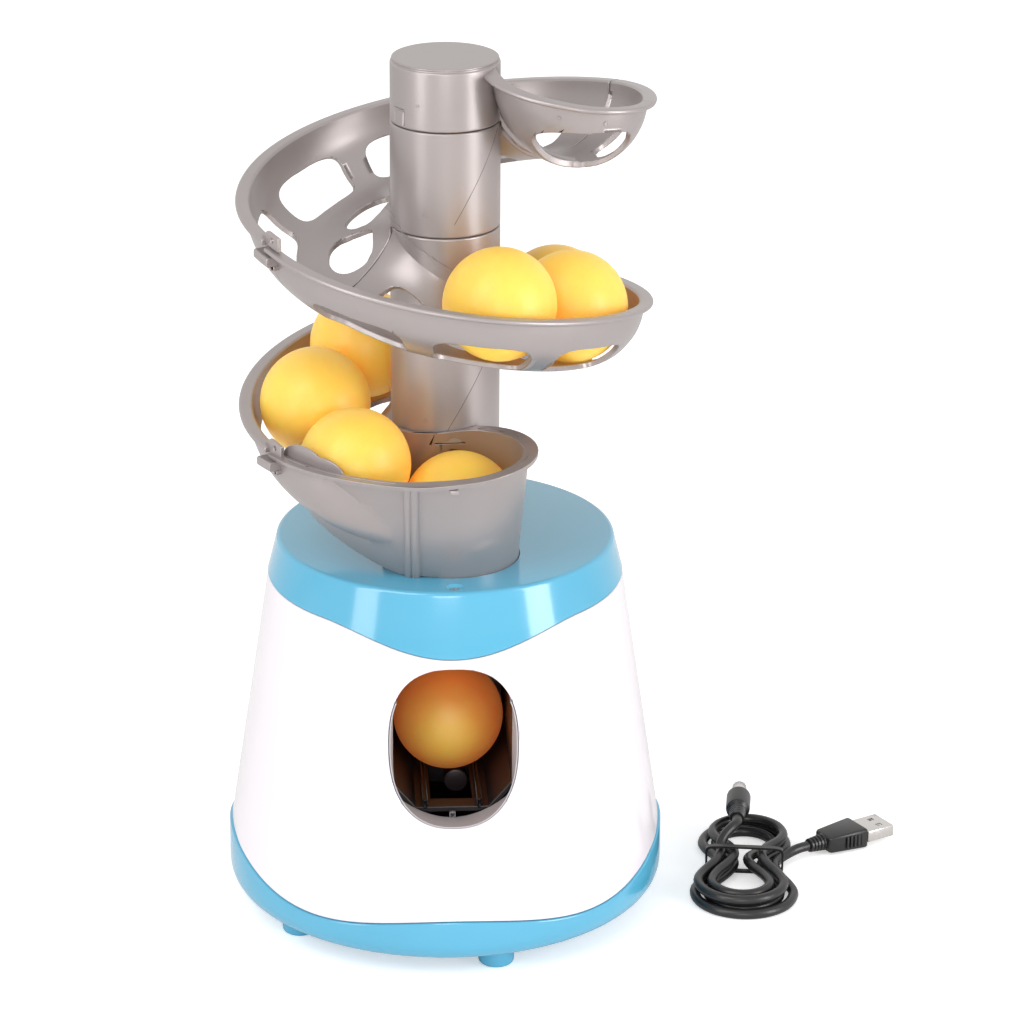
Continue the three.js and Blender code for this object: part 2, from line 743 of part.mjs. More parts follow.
function addHopper() {
  const stubFootZ = coverTopZ - coverWall - gap - hopperFlangeThickness;
  const stub = columnPiece(stubFootZ, columnFootZ - halfGap);
  const above = post(0, 0, columnRadius + gap, columnFootZ - halfGap, hopperRimZ + overrun, columnSteps);
  const walls = cut(loft(hopperPairs(0), coverTopZ + gap, hopperRimZ), belowFloor(0), above);
  const flangeOut = hopperPairs(-(rimRadius - pathRadius - trackRadius - trackWall));
  const flange = cut(loft(flangeOut, hopperRimZ - rimThickness, hopperRimZ), above);
  const tubeTopZ = coverTopZ + hopperWall * 2;
  const tube = post(feedX, feedY, feedRadius, feedTubeEndZ, tubeTopZ, columnSteps);
  const seat = post(feedX, feedY, feedRadius + hopperFlangeWidth, stubFootZ,
    stubFootZ + hopperFlangeThickness, columnSteps);
  const ribs = [-1, 1].map((side) => {
    const angle = twinRibAngle + (side * twinRibRadius) / pathRadius / degree / 2;
    const upper = onCylinder(pathRadius + trackRadius + trackWall, angle, hopperRimZ - rimThickness);
    const lower = onCylinder(hopperFootRadius, angle, coverTopZ + gap + twinRibRadius);
    return strut(upper, lower, twinRibRadius);
  });
  const collar = post(feedX, feedY, feedRadius, coverTopZ + gap, hopperRimZ, columnSteps)
    .intersect(loft(hopperPairs(0), coverTopZ + gap, hopperRimZ))
    .intersect(belowFloor(hopperWall / 2));
  const outside = join(stub, walls, flange, tube, seat, collar, ...ribs);
  const bore = post(feedX, feedY, feedRadius - hopperWall, feedTubeEndZ - overrun, coverTopZ + hopperWall * 2,
    columnSteps);
  const mouth = post(feedX, feedY, feedRadius - hopperWall, coverTopZ - pitch, hopperRimZ, columnSteps);
  const room = cut(
    loft(hopperPairs(hopperWall), coverTopZ - hopperWall, hopperRimZ + overrun),
    cut(belowFloor(hopperWall), mouth));
  const inner = pathRadius + trackRadius - guardThickness;
  const guardSteps = 8;
  const guard = sweepRound([
    new THREE.Vector2(inner, -guardRise),
    new THREE.Vector2(inner + guardThickness + trackWall / 2, -guardRise),
    new THREE.Vector2(inner + guardThickness, guardRise),
    new THREE.Vector2(inner, guardRise),
  ], guardStartAngle, guardStartAngle + guardSweep, guardSteps, (radius, angle, height) => {
    const share = (angle - guardStartAngle) / guardSweep;
    const bump = height > 0 ? Math.sin(share * halfTurn * degree) ** (1 / 2) : 1;
    return onCylinder(radius, angle, hopperRimZ - rimThickness + height * bump);
  });
  const channel = (radius, startAngle) => sweepRound(
    [...arcPoints(pathRadius, trackLift, radius, -halfTurn, 0, sectionStepShares),
      new THREE.Vector2(pathRadius + radius, trackRadius),
      new THREE.Vector2(pathRadius - radius, trackRadius)],
    startAngle, jointAngle + entrySweep, 3, (reach, angle, height) => {
      const share = Math.max(angle - jointAngle, 0) / entrySweep;
      const narrow = 1 - (reach > pathRadius ? entryNarrowShare * share ** 3 : 0);
      return onCylinder(pathRadius + (reach - pathRadius) * narrow, angle, pathHeight(angle) + height);
    });
  const entry = channel(trackRadius, jointAngle - seamGapAngle);
  const entryWall = cut(channel(trackRadius + trackWall, jointAngle + seamGapAngle),
    block(-trayRadius, trayRadius, -trayRadius, trayRadius, hopperRimZ, hopperRimZ + pitch), above);
  const clip = sweepRound([
    new THREE.Vector2(pathRadius + trackRadius + trackWall / 2, -lugHeight - rimThickness),
    new THREE.Vector2(rimRadius, -lugHeight - rimThickness),
    new THREE.Vector2(rimRadius + lugReach, -lugHeight),
    new THREE.Vector2(rimRadius + lugReach, 0),
    new THREE.Vector2(pathRadius + trackRadius + trackWall / 2, 0),
  ], jointAngle + seamGapAngle, jointAngle + seamGapAngle + lugWidthAngle, 2, (radius, angle, height) => (
    onCylinder(radius, angle, hopperRimZ + height)));
  const screwHoles = hopperScrewPlaces().map((place) => post(
    place.x, place.y, screwRadius + gap / 2, stubFootZ - overrun, coverTopZ - coverWall, screwSides));
  const body = cut(join(outside, entryWall), room, bore, entry, ball(hopperBall, 2 * gap), ...screwHoles);
  addPiece('hopper', mainBody(join(body, guard, clip)), silverFinish);
}

// Body heights that change round the axis; the angle is measured from the front.
const fromFront = (angle) => {
  const turned = (((angle + quarterTurn) % fullTurn) + fullTurn) % fullTurn;
  return turned > halfTurn ? turned - fullTurn : turned;
};
function skirtEdge(angle) {
  const away = Math.abs(fromFront(angle));
  if (away >= skirtDipAngle) return skirtZ;
  return skirtZ - skirtDip * Math.cos((away / skirtDipAngle) * quarterTurn * degree) ** 2;
}
function trayRim(angle) {
  const away = fromFront(angle) * degree;
  return trayRimMean + trayRimWave * Math.cos(4 * away) - trayRimTilt * Math.cos(2 * away);
}
const bodySlope = (bodyLowRadius - bodyTopRadius) / (skirtZ - bodyLowZ);
const bodyRadius = (height) => Math.min(bodyTopRadius + (skirtZ - height) * bodySlope, trayRadius - 2 * gap);
const panelReach = bodyRadius(panelTopZ) - bodyWall - panelClearance;
const panelY = Math.sqrt(panelReach ** 2 - panelHalfWidth ** 2) - panelThickness;
const skirtSlope = (skirtRadius - coverTopRadius) / (coverTopZ - coverEdge - skirtZ);
const skirtAt = (height) => (height > skirtZ
  ? skirtRadius - (height - skirtZ) * skirtSlope
  : skirtRadius + (skirtZ - height) * bodySlope);

function screwPlaces() {
  return Array.from({ length: footCount }, (_, i) => onCylinder(
    screwPostCircle, footAngle + screwPostTurn + (fullTurn * i) / footCount, 0));
}
function coverScrewPlaces() {
  return Array.from({ length: coverScrews }, (_, i) => onCylinder(
    coverScrewRadius, coverScrewAngle + (fullTurn * i) / coverScrews, 0));
}
const hopperScrewPlaces = () => hopperScrewAngles.map((angle) => onCylinder(
  feedRadius + hopperFlangeWidth / 2, angle, 0).add(new THREE.Vector3(feedX, feedY, 0)));

// A flat outline in X and Z, extruded along Y.
function prismY(outline, lowY, highY) {
  const settings = { depth: highY - lowY, steps: 1, bevelEnabled: false };
  const geometry = new THREE.ExtrudeGeometry(new THREE.Shape(outline), settings);
  return solidOf(geometry.rotateX(quarterTurn * degree).translate(0, highY, 0));
}
function windowOutline(inset) {
  const middle = (windowLowZ + windowHighZ) / 2;
  const half = (windowHighZ - windowLowZ) / 2;
  return oval(windowHalfWidth - inset, half - inset, windowPower, windowRoundPoints)
    .map((point) => new THREE.Vector2(point.x, point.y + middle));
}

const coverInner = (height) => {
  const bend = skirtAt(skirtBendZ) - coverWall;
  const top = coverTopRadius - coverEdge - coverWall;
  return bend + ((top - bend) * (height - skirtBendZ)) / (coverTopZ - coverWall - skirtBendZ);
};

function addBody() {
  const foot = trayRadius - trayWall - gap;
  const step = coverWall + gap;
  const spigotTop = coverInner(bodySpigotTopZ) - gap;
  const shell = spin((angle) => {
    const high = skirtEdge(angle) - gap;
    const low = trayRim(angle) + gap;
    return [
      [bodyRadius(low), low],
      [bodyRadius(high), high],
      [bodyRadius(high) - step, high],
      [spigotTop, bodySpigotTopZ],
      [spigotTop - bodyWall, bodySpigotTopZ],
      [bodyRadius(high) - step - bodyWall, high - bodyWall],
      [bodyRadius(high - step - bodyWall) - bodyWall, high - step - 2 * bodyWall],
      [bodyRadius(low + step + bodyWall) - bodyWall, low + step + bodyWall],
      [foot - bodyWall, low + step],
      [foot - bodyWall, bodyFootZ],
      [foot, bodyFootZ],
      [foot, low],
    ];
  });
  const postFootZ = trayBottomZ + trayFloor + gap;
  const posts = screwPlaces().flatMap((place) => {
    const way = Math.atan2(place.y, place.x);
    const ribReach = foot - bodyWall / 2 - screwPostCircle;
    const rib = new THREE.BoxGeometry(ribReach, bodyWall, screwPostTopZ - screwRibLowZ);
    rib.translate(screwPostCircle + ribReach / 2, 0, (screwPostTopZ + screwRibLowZ) / 2).rotateZ(way);
    return [post(place.x, place.y, screwPostRadius, postFootZ, screwPostTopZ, screwSides), solidOf(rib)];
  });
  const bossFootZ = coverTopZ - coverWall - coverBossDepth;
  const bossTopZ = coverTopZ - coverWall - gap;
  const underCover = spin([
    [0, bossFootZ],
    [coverInner(skirtBendZ) - gap, bossFootZ],
    [coverInner(skirtBendZ) - gap, skirtBendZ],
    [coverInner(bossTopZ) - gap, bossTopZ],
    [0, bossTopZ],
  ]);
  const bosses = coverScrewPlaces().map((place) => post(
    place.x, place.y, coverBossRadius, bossFootZ, bossTopZ, screwSides).intersect(underCover));
  const window = prismY(windowOutline(0), -trayRadius, -spigotTop / 2);
  const rearWindow = block(-panelWindowHalfWidth, panelWindowHalfWidth, panelY, trayRadius + overrun,
    panelWindowLowZ, panelWindowHighZ);
  const pilots = [
    ...screwPlaces().map((place) => post(
      place.x, place.y, screwRadius + gap, postFootZ - overrun, screwRibLowZ + overrun, screwSides)),
    ...coverScrewPlaces().map((place) => post(
      place.x, place.y, screwRadius + gap, coverTopZ - coverBossDepth, coverTopZ, screwSides)),
  ];
  addPiece('body_shell', cut(join(shell, ...posts, ...bosses), window, rearWindow, ...pilots), whiteFinish);
}

function addCover() {
  const shell = spin((angle) => {
    const edge = skirtEdge(angle);
    return [
      [skirtAt(edge), edge],
      [skirtAt(skirtBendZ), skirtBendZ],
      [coverTopRadius, coverTopZ - coverEdge],
      [coverTopRadius - coverEdge / 3, coverTopZ - coverEdge / 3],
      [coverTopRadius - coverEdge, coverTopZ],
      [0, coverTopZ],
      [0, coverTopZ - coverWall],
      [coverTopRadius - coverEdge - coverWall, coverTopZ - coverWall],
      [skirtAt(skirtBendZ) - coverWall, skirtBendZ],
      [skirtAt(edge) - coverWall, edge],
    ];
  });
  const low = coverTopZ - coverWall - overrun;
  const high = coverTopZ + overrun;
  const feedHole = post(feedX, feedY, feedRadius + gap, low, high, columnSteps);
  const stubHole = post(0, 0, columnRadius + gap, low, high, columnSteps);
  const screwHoles = coverScrewPlaces().map((place) => post(
    place.x, place.y, smallHeadRadius + gap, low, high, screwSides));
  const blindHoles = hopperScrewPlaces().map((place) => post(
    place.x, place.y, screwRadius + gap / 2, low, coverTopZ - coverWall + hopperScrewGrip + gap, screwSides));
  addPiece('top_cover', cut(shell, feedHole, stubHole, ...screwHoles, ...blindHoles), blueFinish);
}

function addTray() {
  const shell = spin((angle) => {
    const rim = trayRim(angle);
    const floor = trayBottomZ + trayFloor;
    const inner = trayRadius - trayWall;
    return [
      [0, trayBottomZ],
      [trayRadius - trayBendWidth, trayBottomZ],
      [trayRadius - trayBendWidth / 4, trayBottomZ + trayBendRise / 3],
      [trayRadius, trayBottomZ + trayBendRise],
      [trayRadius, rim],
      [inner, rim],
      [inner, trayBottomZ + trayBendRise],
      [inner - trayBendWidth / 2, floor],
      [0, floor],
    ];
  });
  const feet = Array.from({ length: footCount }, (_, i) => {
    const place = onCylinder(footCircle, footAngle + (fullTurn * i) / footCount, 0);
    const foot = spin([
      [0, 0],
      [footRadius - footEdge, 0],
      [footRadius, footEdge],
      [footRadius, trayBottomZ + trayFloor / 2],
      [0, trayBottomZ + trayFloor / 2],
    ], footSides);
    return foot.translate([place.x, place.y, 0]);
  });
  const pegs = [-1, 1].map((side) => post(
    boardX, side * boardPegY, boardPegRadius, trayBottomZ + trayFloor / 2, boardZ - gap, screwSides));
  const well = block(-batteryHalfX, batteryHalfX, -batteryHalfY, batteryHalfY,
    trayBottomZ - overrun, trayBottomZ + trayFloor + overrun);
  const holes = screwPlaces().map((place) => post(
    place.x, place.y, screwRadius + gap, trayBottomZ - overrun, trayBottomZ + trayFloor + overrun,
    screwSides));
  addPiece('base_tray', cut(join(shell, ...feet, ...pegs), well, ...holes), blueFinish);
}

function addChute() {
  const outer = prismY(windowOutline(gap), -trayRadius, chuteBackY);
  const inner = prismY(windowOutline(gap + chuteWall), -trayRadius - overrun, chuteBackY + overrun);
  const bodyCone = spin([
    [0, bodyLowZ],
    [bodyRadius(bodyLowZ) - 2 * gap, bodyLowZ],
    [bodyRadius(skirtZ) - 2 * gap, skirtZ],
    [0, skirtZ],
  ]);
  const upper = block(-trayRadius, trayRadius, -trayRadius - overrun, 0, chuteTopZ, coverTopZ);
  addPiece('launch_chute', cut(outer, inner, upper).intersect(bodyCone), silverFinish);
}

// The launcher works along Y: the striker is drawn back by its rack and thrown forward by the spring.
const serveY = feedY;
const headFrontY = serveY + ballRadius + gap;
const headBackY = headFrontY + headThickness;
const seatBackY = headBackY + springSeatThickness;
const pitchRadius = strikerStroke / (sectorTravel * degree);
const gearZ = pitchLineZ - pitchRadius;
const rackRootZ = pitchLineZ + toothAddendum + gap;
const rackTopZ = rackRootZ + rackThickness;
const hopperBall = new THREE.Vector3(hopperBallX, hopperBallY, hopperBallZ);
const touching = 2 * ballRadius + ballGap;
const tubeBallZ = hopperBall.z - Math.sqrt(
  touching ** 2 - (hopperBall.x - feedX) ** 2 - (hopperBall.y - feedY) ** 2);
const gateTopZ = tubeBallZ - ballRadius - gap;

// One tooth, pointing up from the origin, as wide as the gear.
function tooth(height) {
  const outline = [
    new THREE.Vector2(-toothRootHalf, -gap),
    new THREE.Vector2(toothRootHalf, -gap),
    new THREE.Vector2(toothTipHalf, height),
    new THREE.Vector2(-toothTipHalf, height),
  ];
  const settings = { depth: 2 * gearHalfWidth, steps: 1, bevelEnabled: false };
  const shape = new THREE.ExtrudeGeometry(new THREE.Shape(outline), settings);
  return shape.translate(0, 0, -gearHalfWidth).rotateX(quarterTurn * degree).rotateZ(quarterTurn * degree);
}

function addStriker() {
  const head = barY(0, launchZ, headRadius, headFrontY, headBackY, columnSteps);
  const seat = barY(0, launchZ, springSeatRadius, headBackY - overrun, seatBackY);
  const rod = barY(0, launchZ, rodRadius, headBackY, rodEndY, footSides);
  const web = block(-rackHalfWidth, rackHalfWidth, rackStartY, seatBackY, rackRootZ, launchZ);
  const bar = block(-rackHalfWidth, rackHalfWidth, rackStartY, rackBackY, rackRootZ, rackTopZ);
  const gateLowZ = gateTopZ - gateThickness;
  const arm = block(-gateArmHalfWidth, gateArmHalfWidth, rackStartY, seatBackY, launchZ,
    gateTopZ - gateThickness / 2);
  const gate = block(-gateHalfWidth, gateHalfWidth, serveY - gateReach, gateBackY, gateLowZ, gateTopZ);
  const teeth = [];
  const toothPitch = pitchRadius * toothPitchAngle * degree;
  const height = rackRootZ - pitchLineZ + toothAddendum;
  const first = Math.ceil((rackStartY + toothRootHalf - gearY) / toothPitch);
  const last = Math.floor((rackBackY - toothRootHalf - gearY) / toothPitch);
  for (let i = first; i <= last; i += 1) {
    const one = tooth(height).rotateX(halfTurn * degree);
    teeth.push(solidOf(one.translate(0, gearY + i * toothPitch, rackRootZ)));
  }
  addPiece('striker', join(head, seat, rod, web, bar, arm, gate, ...teeth), blackFinish);
}

function addSectorGear() {
  const root = pitchRadius - toothAddendum - gap;
  const disc = barX(gearY, gearZ, root, -gearHalfWidth, gearHalfWidth, columnSteps);
  const hub = barX(gearY, gearZ, gearHubRadius, -gearHubHalfWidth, gearHubHalfWidth, footSides);
  const teeth = [];
  for (let i = -gearTeethBehind; i < gearTeethAhead; i += 1) {
    const turn = (i + 0.5) * toothPitchAngle * degree;
    const one = tooth(2 * toothAddendum + gap).translate(0, 0, root).rotateX(turn);
    teeth.push(solidOf(one.translate(0, gearY, gearZ)));
  }
  const bore = barX(gearY, gearZ, shaftRadius + gap, -gearHubHalfWidth - overrun, gearHubHalfWidth + overrun,
    footSides);
  addPiece('sector_gear', cut(join(disc, hub, ...teeth), bore), blackFinish);
}

// A tube of a few sides along points, with flat ends: a curve through straight stretches.
class PointPath extends THREE.Curve {
  constructor(points) {
    super();
    this.points = points;
  }

  getPoint(share, target = new THREE.Vector3()) {
    const place = share * (this.points.length - 1);
    const i = Math.min(Math.floor(place), this.points.length - 2);
    return target.lerpVectors(this.points[i], this.points[i + 1], place - i);
  }

  getPointAt(share, target) {
    return this.getPoint(share, target);
  }

  getTangentAt(share, target = new THREE.Vector3()) {
    const place = share * (this.points.length - 1);
    const i = Math.round(place);
    const before = this.points[Math.max(i - 1, 0)];
    const after = this.points[Math.min(i + 1, this.points.length - 1)];
    return target.subVectors(after, before).normalize();
  }
}

// Rings of a tube: each stands square to the path, turned as little as possible from the last.
function tubeAlong(points, radius, sides) {
  const path = new PointPath(points);
  const count = points.length;
  const position = [];
  const index = [];
  let side = new THREE.Vector3(0, 0, 1);
  points.forEach((point, i) => {
    const along = path.getTangentAt(i / (count - 1));
    side = side.clone().addScaledVector(along, -side.dot(along)).normalize();
    const across = along.clone().cross(side);
    for (let k = 0; k < sides; k += 1) {
      const way = (k + 0.5) * (fullTurn / sides) * degree;
      const corner = point.clone()
        .addScaledVector(side, radius * Math.cos(way))
        .addScaledVector(across, radius * Math.sin(way));
      position.push(corner.x, corner.y, corner.z);
    }
  });
  for (let i = 0; i < count - 1; i += 1) {
    for (let k = 0; k < sides; k += 1) {
      const a = i * sides + k;
      const b = i * sides + ((k + 1) % sides);
      index.push(a, b, b + sides, a, b + sides, a + sides);
    }
  }
  for (let k = 1; k < sides - 1; k += 1) {
    const end = (count - 1) * sides;
    index.push(0, k + 1, k, end, end + k, end + k + 1);
  }
  const tube = new THREE.BufferGeometry();
  tube.setAttribute('position', new THREE.BufferAttribute(new Float32Array(position), 3));
  tube.setIndex(index);
  return solidOf(tube);
}

// The least gap between stretches of a tube that are further apart along it than one loop's share.
function leastGap(points, diameter, skip) {
  let least = Infinity;
  const nearest = (a, b, c, d) => {
    let low = Infinity;
    for (let i = 0; i <= 4; i += 1) {
      const p = a.clone().lerp(b, i / 4);
      for (let k = 0; k <= 4; k += 1) low = Math.min(low, p.distanceTo(c.clone().lerp(d, k / 4)));
    }
    return low;
  };
  for (let i = 0; i < points.length - 1; i += 1) {
    for (let k = i + skip; k < points.length - 1; k += 1) {
      least = Math.min(least, nearest(points[i], points[i + 1], points[k], points[k + 1]));
    }
  }
  return least - diameter;
}

function addSpring() {
  const startY = seatBackY + gap + springWire / 2;
  const endY = guideY - gap - springWire / 2;
  const steps = springTurns * springStepsPerTurn;
  const points = Array.from({ length: steps + 1 }, (_, i) => {
    const way = (i / springStepsPerTurn) * fullTurn * degree;
    const reach = startY + ((endY - startY) * i) / steps;
    return new THREE.Vector3(springRadius * Math.cos(way), reach, launchZ + springRadius * Math.sin(way));
  });
  const curlGap = leastGap(points, springWire, springStepsPerTurn / 2);
  console.log('spring: least gap between curls', curlGap.toFixed(2));
  addPiece('striker_spring', tubeAlong(points, springWire / 2, springSides), metalFinish);
}

const cheekInnerX = cradleHalfWidth + cradleWall + gap;
const cheekOuterX = cheekInnerX + cheekThickness;
const railTopZ = launchZ - Math.sqrt((ballRadius + gap) ** 2 - (railHalfSpacing - railWidth / 2) ** 2);

function addCradle() {
  const side = (half, floorHalf, bendZ, floorZ) => [
    new THREE.Vector2(-half, cradleTopZ),
    new THREE.Vector2(-half, bendZ),
    new THREE.Vector2(-floorHalf, floorZ),
    new THREE.Vector2(floorHalf, floorZ),
    new THREE.Vector2(half, bendZ),
    new THREE.Vector2(half, cradleTopZ),
  ];
  const outline = [
    ...side(cradleHalfWidth + cradleWall, cradleFloorHalf + cradleWall / 2, cradleBendZ,
      cradleFloorZ - cradleWall),
    ...side(cradleHalfWidth, cradleFloorHalf, cradleBendZ, cradleFloorZ).reverse(),
  ];
  const channel = prismY(outline, chuteBackY + gap, cradleBackY);
  const rails = [-1, 1].map((hand) => block(
    hand * railHalfSpacing - railWidth / 2, hand * railHalfSpacing + railWidth / 2,
    chuteBackY + gap, cradleBackY, cradleFloorZ - cradleWall / 2, railTopZ));
  const slot = block(-cradleSlotHalf, cradleSlotHalf, cradleSlotStartY, cradleSlotEndY,
    cradleFloorZ - cradleWall - overrun, cradleFloorZ + overrun);
  const holes = frameScrewYs.map((y) => barX(
    y, frameScrewZ, screwRadius + gap, -cheekOuterX - overrun, cheekOuterX + overrun, screwSides));
  addPiece('ball_cradle', cut(join(channel, ...rails), slot, ...holes), blackFinish);
}

function addFrame() {
  const deckTop = frameDeckZ + frameDeckThickness;
  const deck = block(-frameHalfWidth, frameHalfWidth, frameFrontY, frameBackY, frameDeckZ, deckTop);
  const legs = [];
  for (const x of [-frameHalfWidth, frameHalfWidth - frameLegSize]) {
    for (const y of [frameFrontY, frameBackY - frameLegSize]) {
      const footZ = trayBottomZ + trayFloor + gap;
      legs.push(block(x, x + frameLegSize, y, y + frameLegSize, footZ, frameDeckZ + overrun));
    }
  }
  const cheeks = [-1, 1].map((hand) => block(
    Math.min(hand * cheekInnerX, hand * cheekOuterX), Math.max(hand * cheekInnerX, hand * cheekOuterX),
    cheekFrontY, frameBackY, frameDeckZ + overrun, cheekTopZ));
  const wall = block(-cheekInnerX - overrun, cheekInnerX + overrun, guideY, guideY + guideThickness,
    guideLowZ, cheekTopZ);
  const bridge = block(-cheekInnerX - overrun, cheekInnerX + overrun,
    bridgeFrontY, bridgeFrontY + bridgeThickness, bridgeLowZ, bridgeHighZ);
  const boss = barY(bossX, bossZ, bossRadius, bossFrontY, bridgeFrontY + overrun, footSides);
  const rodHole = barY(0, launchZ, rodRadius + bushWall + 2 * gap, guideY - overrun,
    guideY + guideThickness + overrun, footSides);
  const shaftHole = barX(gearY, gearZ, shaftRadius + gap, -cheekOuterX - overrun, cheekOuterX + overrun,
    footSides);
  const screwHoles = frameScrewYs.map((y) => barX(
    y, frameScrewZ, screwRadius + gap, -cheekOuterX - overrun, cheekOuterX + overrun, screwSides));
  addPiece('mechanism_frame', cut(
    join(deck, ...legs, ...cheeks, wall, bridge, boss), rodHole, shaftHole, ...screwHoles), blackFinish);
  const bushOuter = barY(0, launchZ, rodRadius + bushWall + gap, guideY, guideY + guideThickness, footSides);
  const bushBore = barY(0, launchZ, rodRadius + gap, guideY - overrun, guideY + guideThickness + overrun,
    footSides);
  addPiece('guide_bush', cut(bushOuter, bushBore), metalFinish);
}

function addDrive() {
  const startX = cheekOuterX + gap;
  const endX = startX + gearboxLength;
  const box = block(startX, endX, gearboxFrontY, gearboxBackY, gearZ - gearboxHalfHeight,
    gearZ + gearboxHalfHeight);
  const socket = barX(gearY, gearZ, shaftRadius + gap, startX - overrun, startX + shaftSocketDepth,
    footSides);
  addPiece('gearbox', cut(box, socket), whiteFinish);
  const shaft = barX(gearY, gearZ, shaftRadius, -cheekOuterX - shaftOverhang,
    startX + shaftSocketDepth - gap, footSides);
  addPiece('drive_shaft', shaft, metalFinish);
  const motorLength = bodyRadius(gearZ) - bodyWall - motorEndClearance - endX;
  const can = barX(motorY, gearZ, motorRadius, endX + gap, endX + gap + motorLength, columnSteps);
  const end = barX(motorY, gearZ, motorEndRadius, endX + motorLength,
    endX + gap + motorLength + motorEndLength, footSides);
  addPiece('motor', join(can, end), metalFinish);
}

function addBattery() {
  const floor = trayBottomZ + trayFloor + gap;
  const outer = block(-batteryHalfX - batteryWall, batteryHalfX + batteryWall, -batteryHalfY - batteryWall,
    batteryHalfY + batteryWall, floor, floor + batteryHeight);
  const inner = block(-batteryHalfX, batteryHalfX, -batteryHalfY, batteryHalfY,
    floor - overrun, floor + batteryHeight - batteryWall);
  addPiece('battery_box', cut(outer, inner), blackFinish);
  const near = batteryHalfY - gap - contactThickness;
  const far = batteryHalfY - gap;
  const lastX = ((cellCount - 1) / 2) * contactSpacing;
  for (const [name, lowY, highY] of [['front_contacts', -far, -near], ['rear_contacts', near, far]]) {
    const strip = [block(-lastX, lastX, lowY, highY, floor, floor + contactThickness)];
    for (let i = 0; i < cellCount; i += 1) {
      const x = i * contactSpacing - lastX;
      const [lowX, highX] = [x - contactHalfWidth, x + contactHalfWidth];
      strip.push(block(lowX, highX, lowY, highY, floor, floor + contactHeight));
    }
    addPiece(name, join(...strip), metalFinish);
  }
  const doorTop = trayBottomZ - gap;
  const plate = block(-batteryHalfX - doorOverlap, batteryHalfX + doorOverlap, -batteryHalfY - doorOverlap,
    batteryHalfY + doorOverlap, doorTop - doorThickness, doorTop);
  const ribs = Array.from({ length: doorRibs }, (_, i) => {
    const y = batteryHalfY - doorRibSpacing * (i + 1);
    return block(-batteryHalfX / 2, batteryHalfX / 2, y - doorRibSize, y + doorRibSize,
      doorTop - doorThickness - doorRibSize, doorTop - doorThickness / 2);
  });
  const tongues = [-1, 1].map((side) => block(
    side * batteryHalfX / 2 - doorTongueHalf, side * batteryHalfX / 2 + doorTongueHalf,
    -doorTongueY, doorTongueThickness - doorTongueY, doorTop - overrun, trayBottomZ + trayFloor - gap));
  addPiece('battery_door', join(plate, ...ribs, ...tongues), blueFinish);
}

function addElectronics() {
  const top = boardZ + boardThickness;
  const board = block(boardX - boardHalfX, boardX + boardHalfX, -boardHalfY, boardHalfY, boardZ, top);
  const chip = block(boardX - boardHalfX / 3, boardX + boardHalfX / 3, -boardHalfY / 4, boardHalfY / 4,
    top - halfGap, top + boardThickness);
  const can = post(boardX + boardHalfX / 3, boardHalfY / 2, boardPegRadius, top - halfGap,
    top + screwPostRadius * 2, screwSides);
  const plug = block(boardX - boardHalfX / 2, boardX + boardHalfX / 2, -boardHalfY + boardThickness,
    -boardHalfY / 2, top - halfGap, top + screwPostRadius);
  addPiece('circuit_board', join(board, chip, can, plug), boardFinish);
}

function addRearPanel() {
  const knobX = switchX - switchTravel / 2;
  const slotHalf = switchTravel / 2 + knobHalfWidth + gap;
  const back = panelY + panelThickness;
  const footZ = trayBottomZ + trayFloor + gap;
  const plate = block(-panelHalfWidth, panelHalfWidth, panelY, back, footZ, panelTopZ);
  const slot = block(switchX - slotHalf, switchX + slotHalf, panelY - overrun, back + overrun,
    controlZ - knobHalfHeight - gap, controlZ + knobHalfHeight + gap);
  const hole = barY(jackX, controlZ, jackNoseRadius + gap, panelY - overrun, back + overrun, footSides);
  addPiece('rear_panel', cut(plate, slot, hole), blackFinish);
  const front = panelY - gap;
  const housing = block(switchX - switchHalfWidth, switchX + switchHalfWidth, front - switchDepth, front,
    controlZ - switchHalfHeight, controlZ + switchHalfHeight);
  const recess = block(switchX - slotHalf, switchX + slotHalf, front - knobDepth - gap, front + overrun,
    controlZ - knobHalfHeight - gap, controlZ + knobHalfHeight + gap);
  addPiece('switch_housing', cut(housing, recess), blackFinish);
  const knob = block(knobX - knobHalfWidth, knobX + knobHalfWidth, front - knobDepth, back + knobReach,
    controlZ - knobHalfHeight, controlZ + knobHalfHeight);
  addPiece('switch_knob', knob, blackFinish);
  const jack = block(jackX - jackHalfSize, jackX + jackHalfSize, front - jackDepth, front,
    controlZ - jackHalfSize, controlZ + jackHalfSize);
  const nose = barY(jackX, controlZ, jackNoseRadius, front - overrun, back + jackNoseReach, footSides);
  const bore = barY(jackX, controlZ, jackBoreRadius, back + jackNoseReach - jackBoreDepth,
    back + 2 * jackNoseReach, footSides);
  addPiece('supply_jack', cut(join(jack, nose), bore), blackFinish);
}

// Screws: a head and a shaft on one line, each a node of its own.
function screwUp(place, headLowZ, headRadius, topZ) {
  return join(
    post(place.x, place.y, headRadius, headLowZ, headLowZ + screwHeadHeight, screwSides),
    post(place.x, place.y, screwRadius, headLowZ + screwHeadHeight / 2, topZ, screwSides));
}

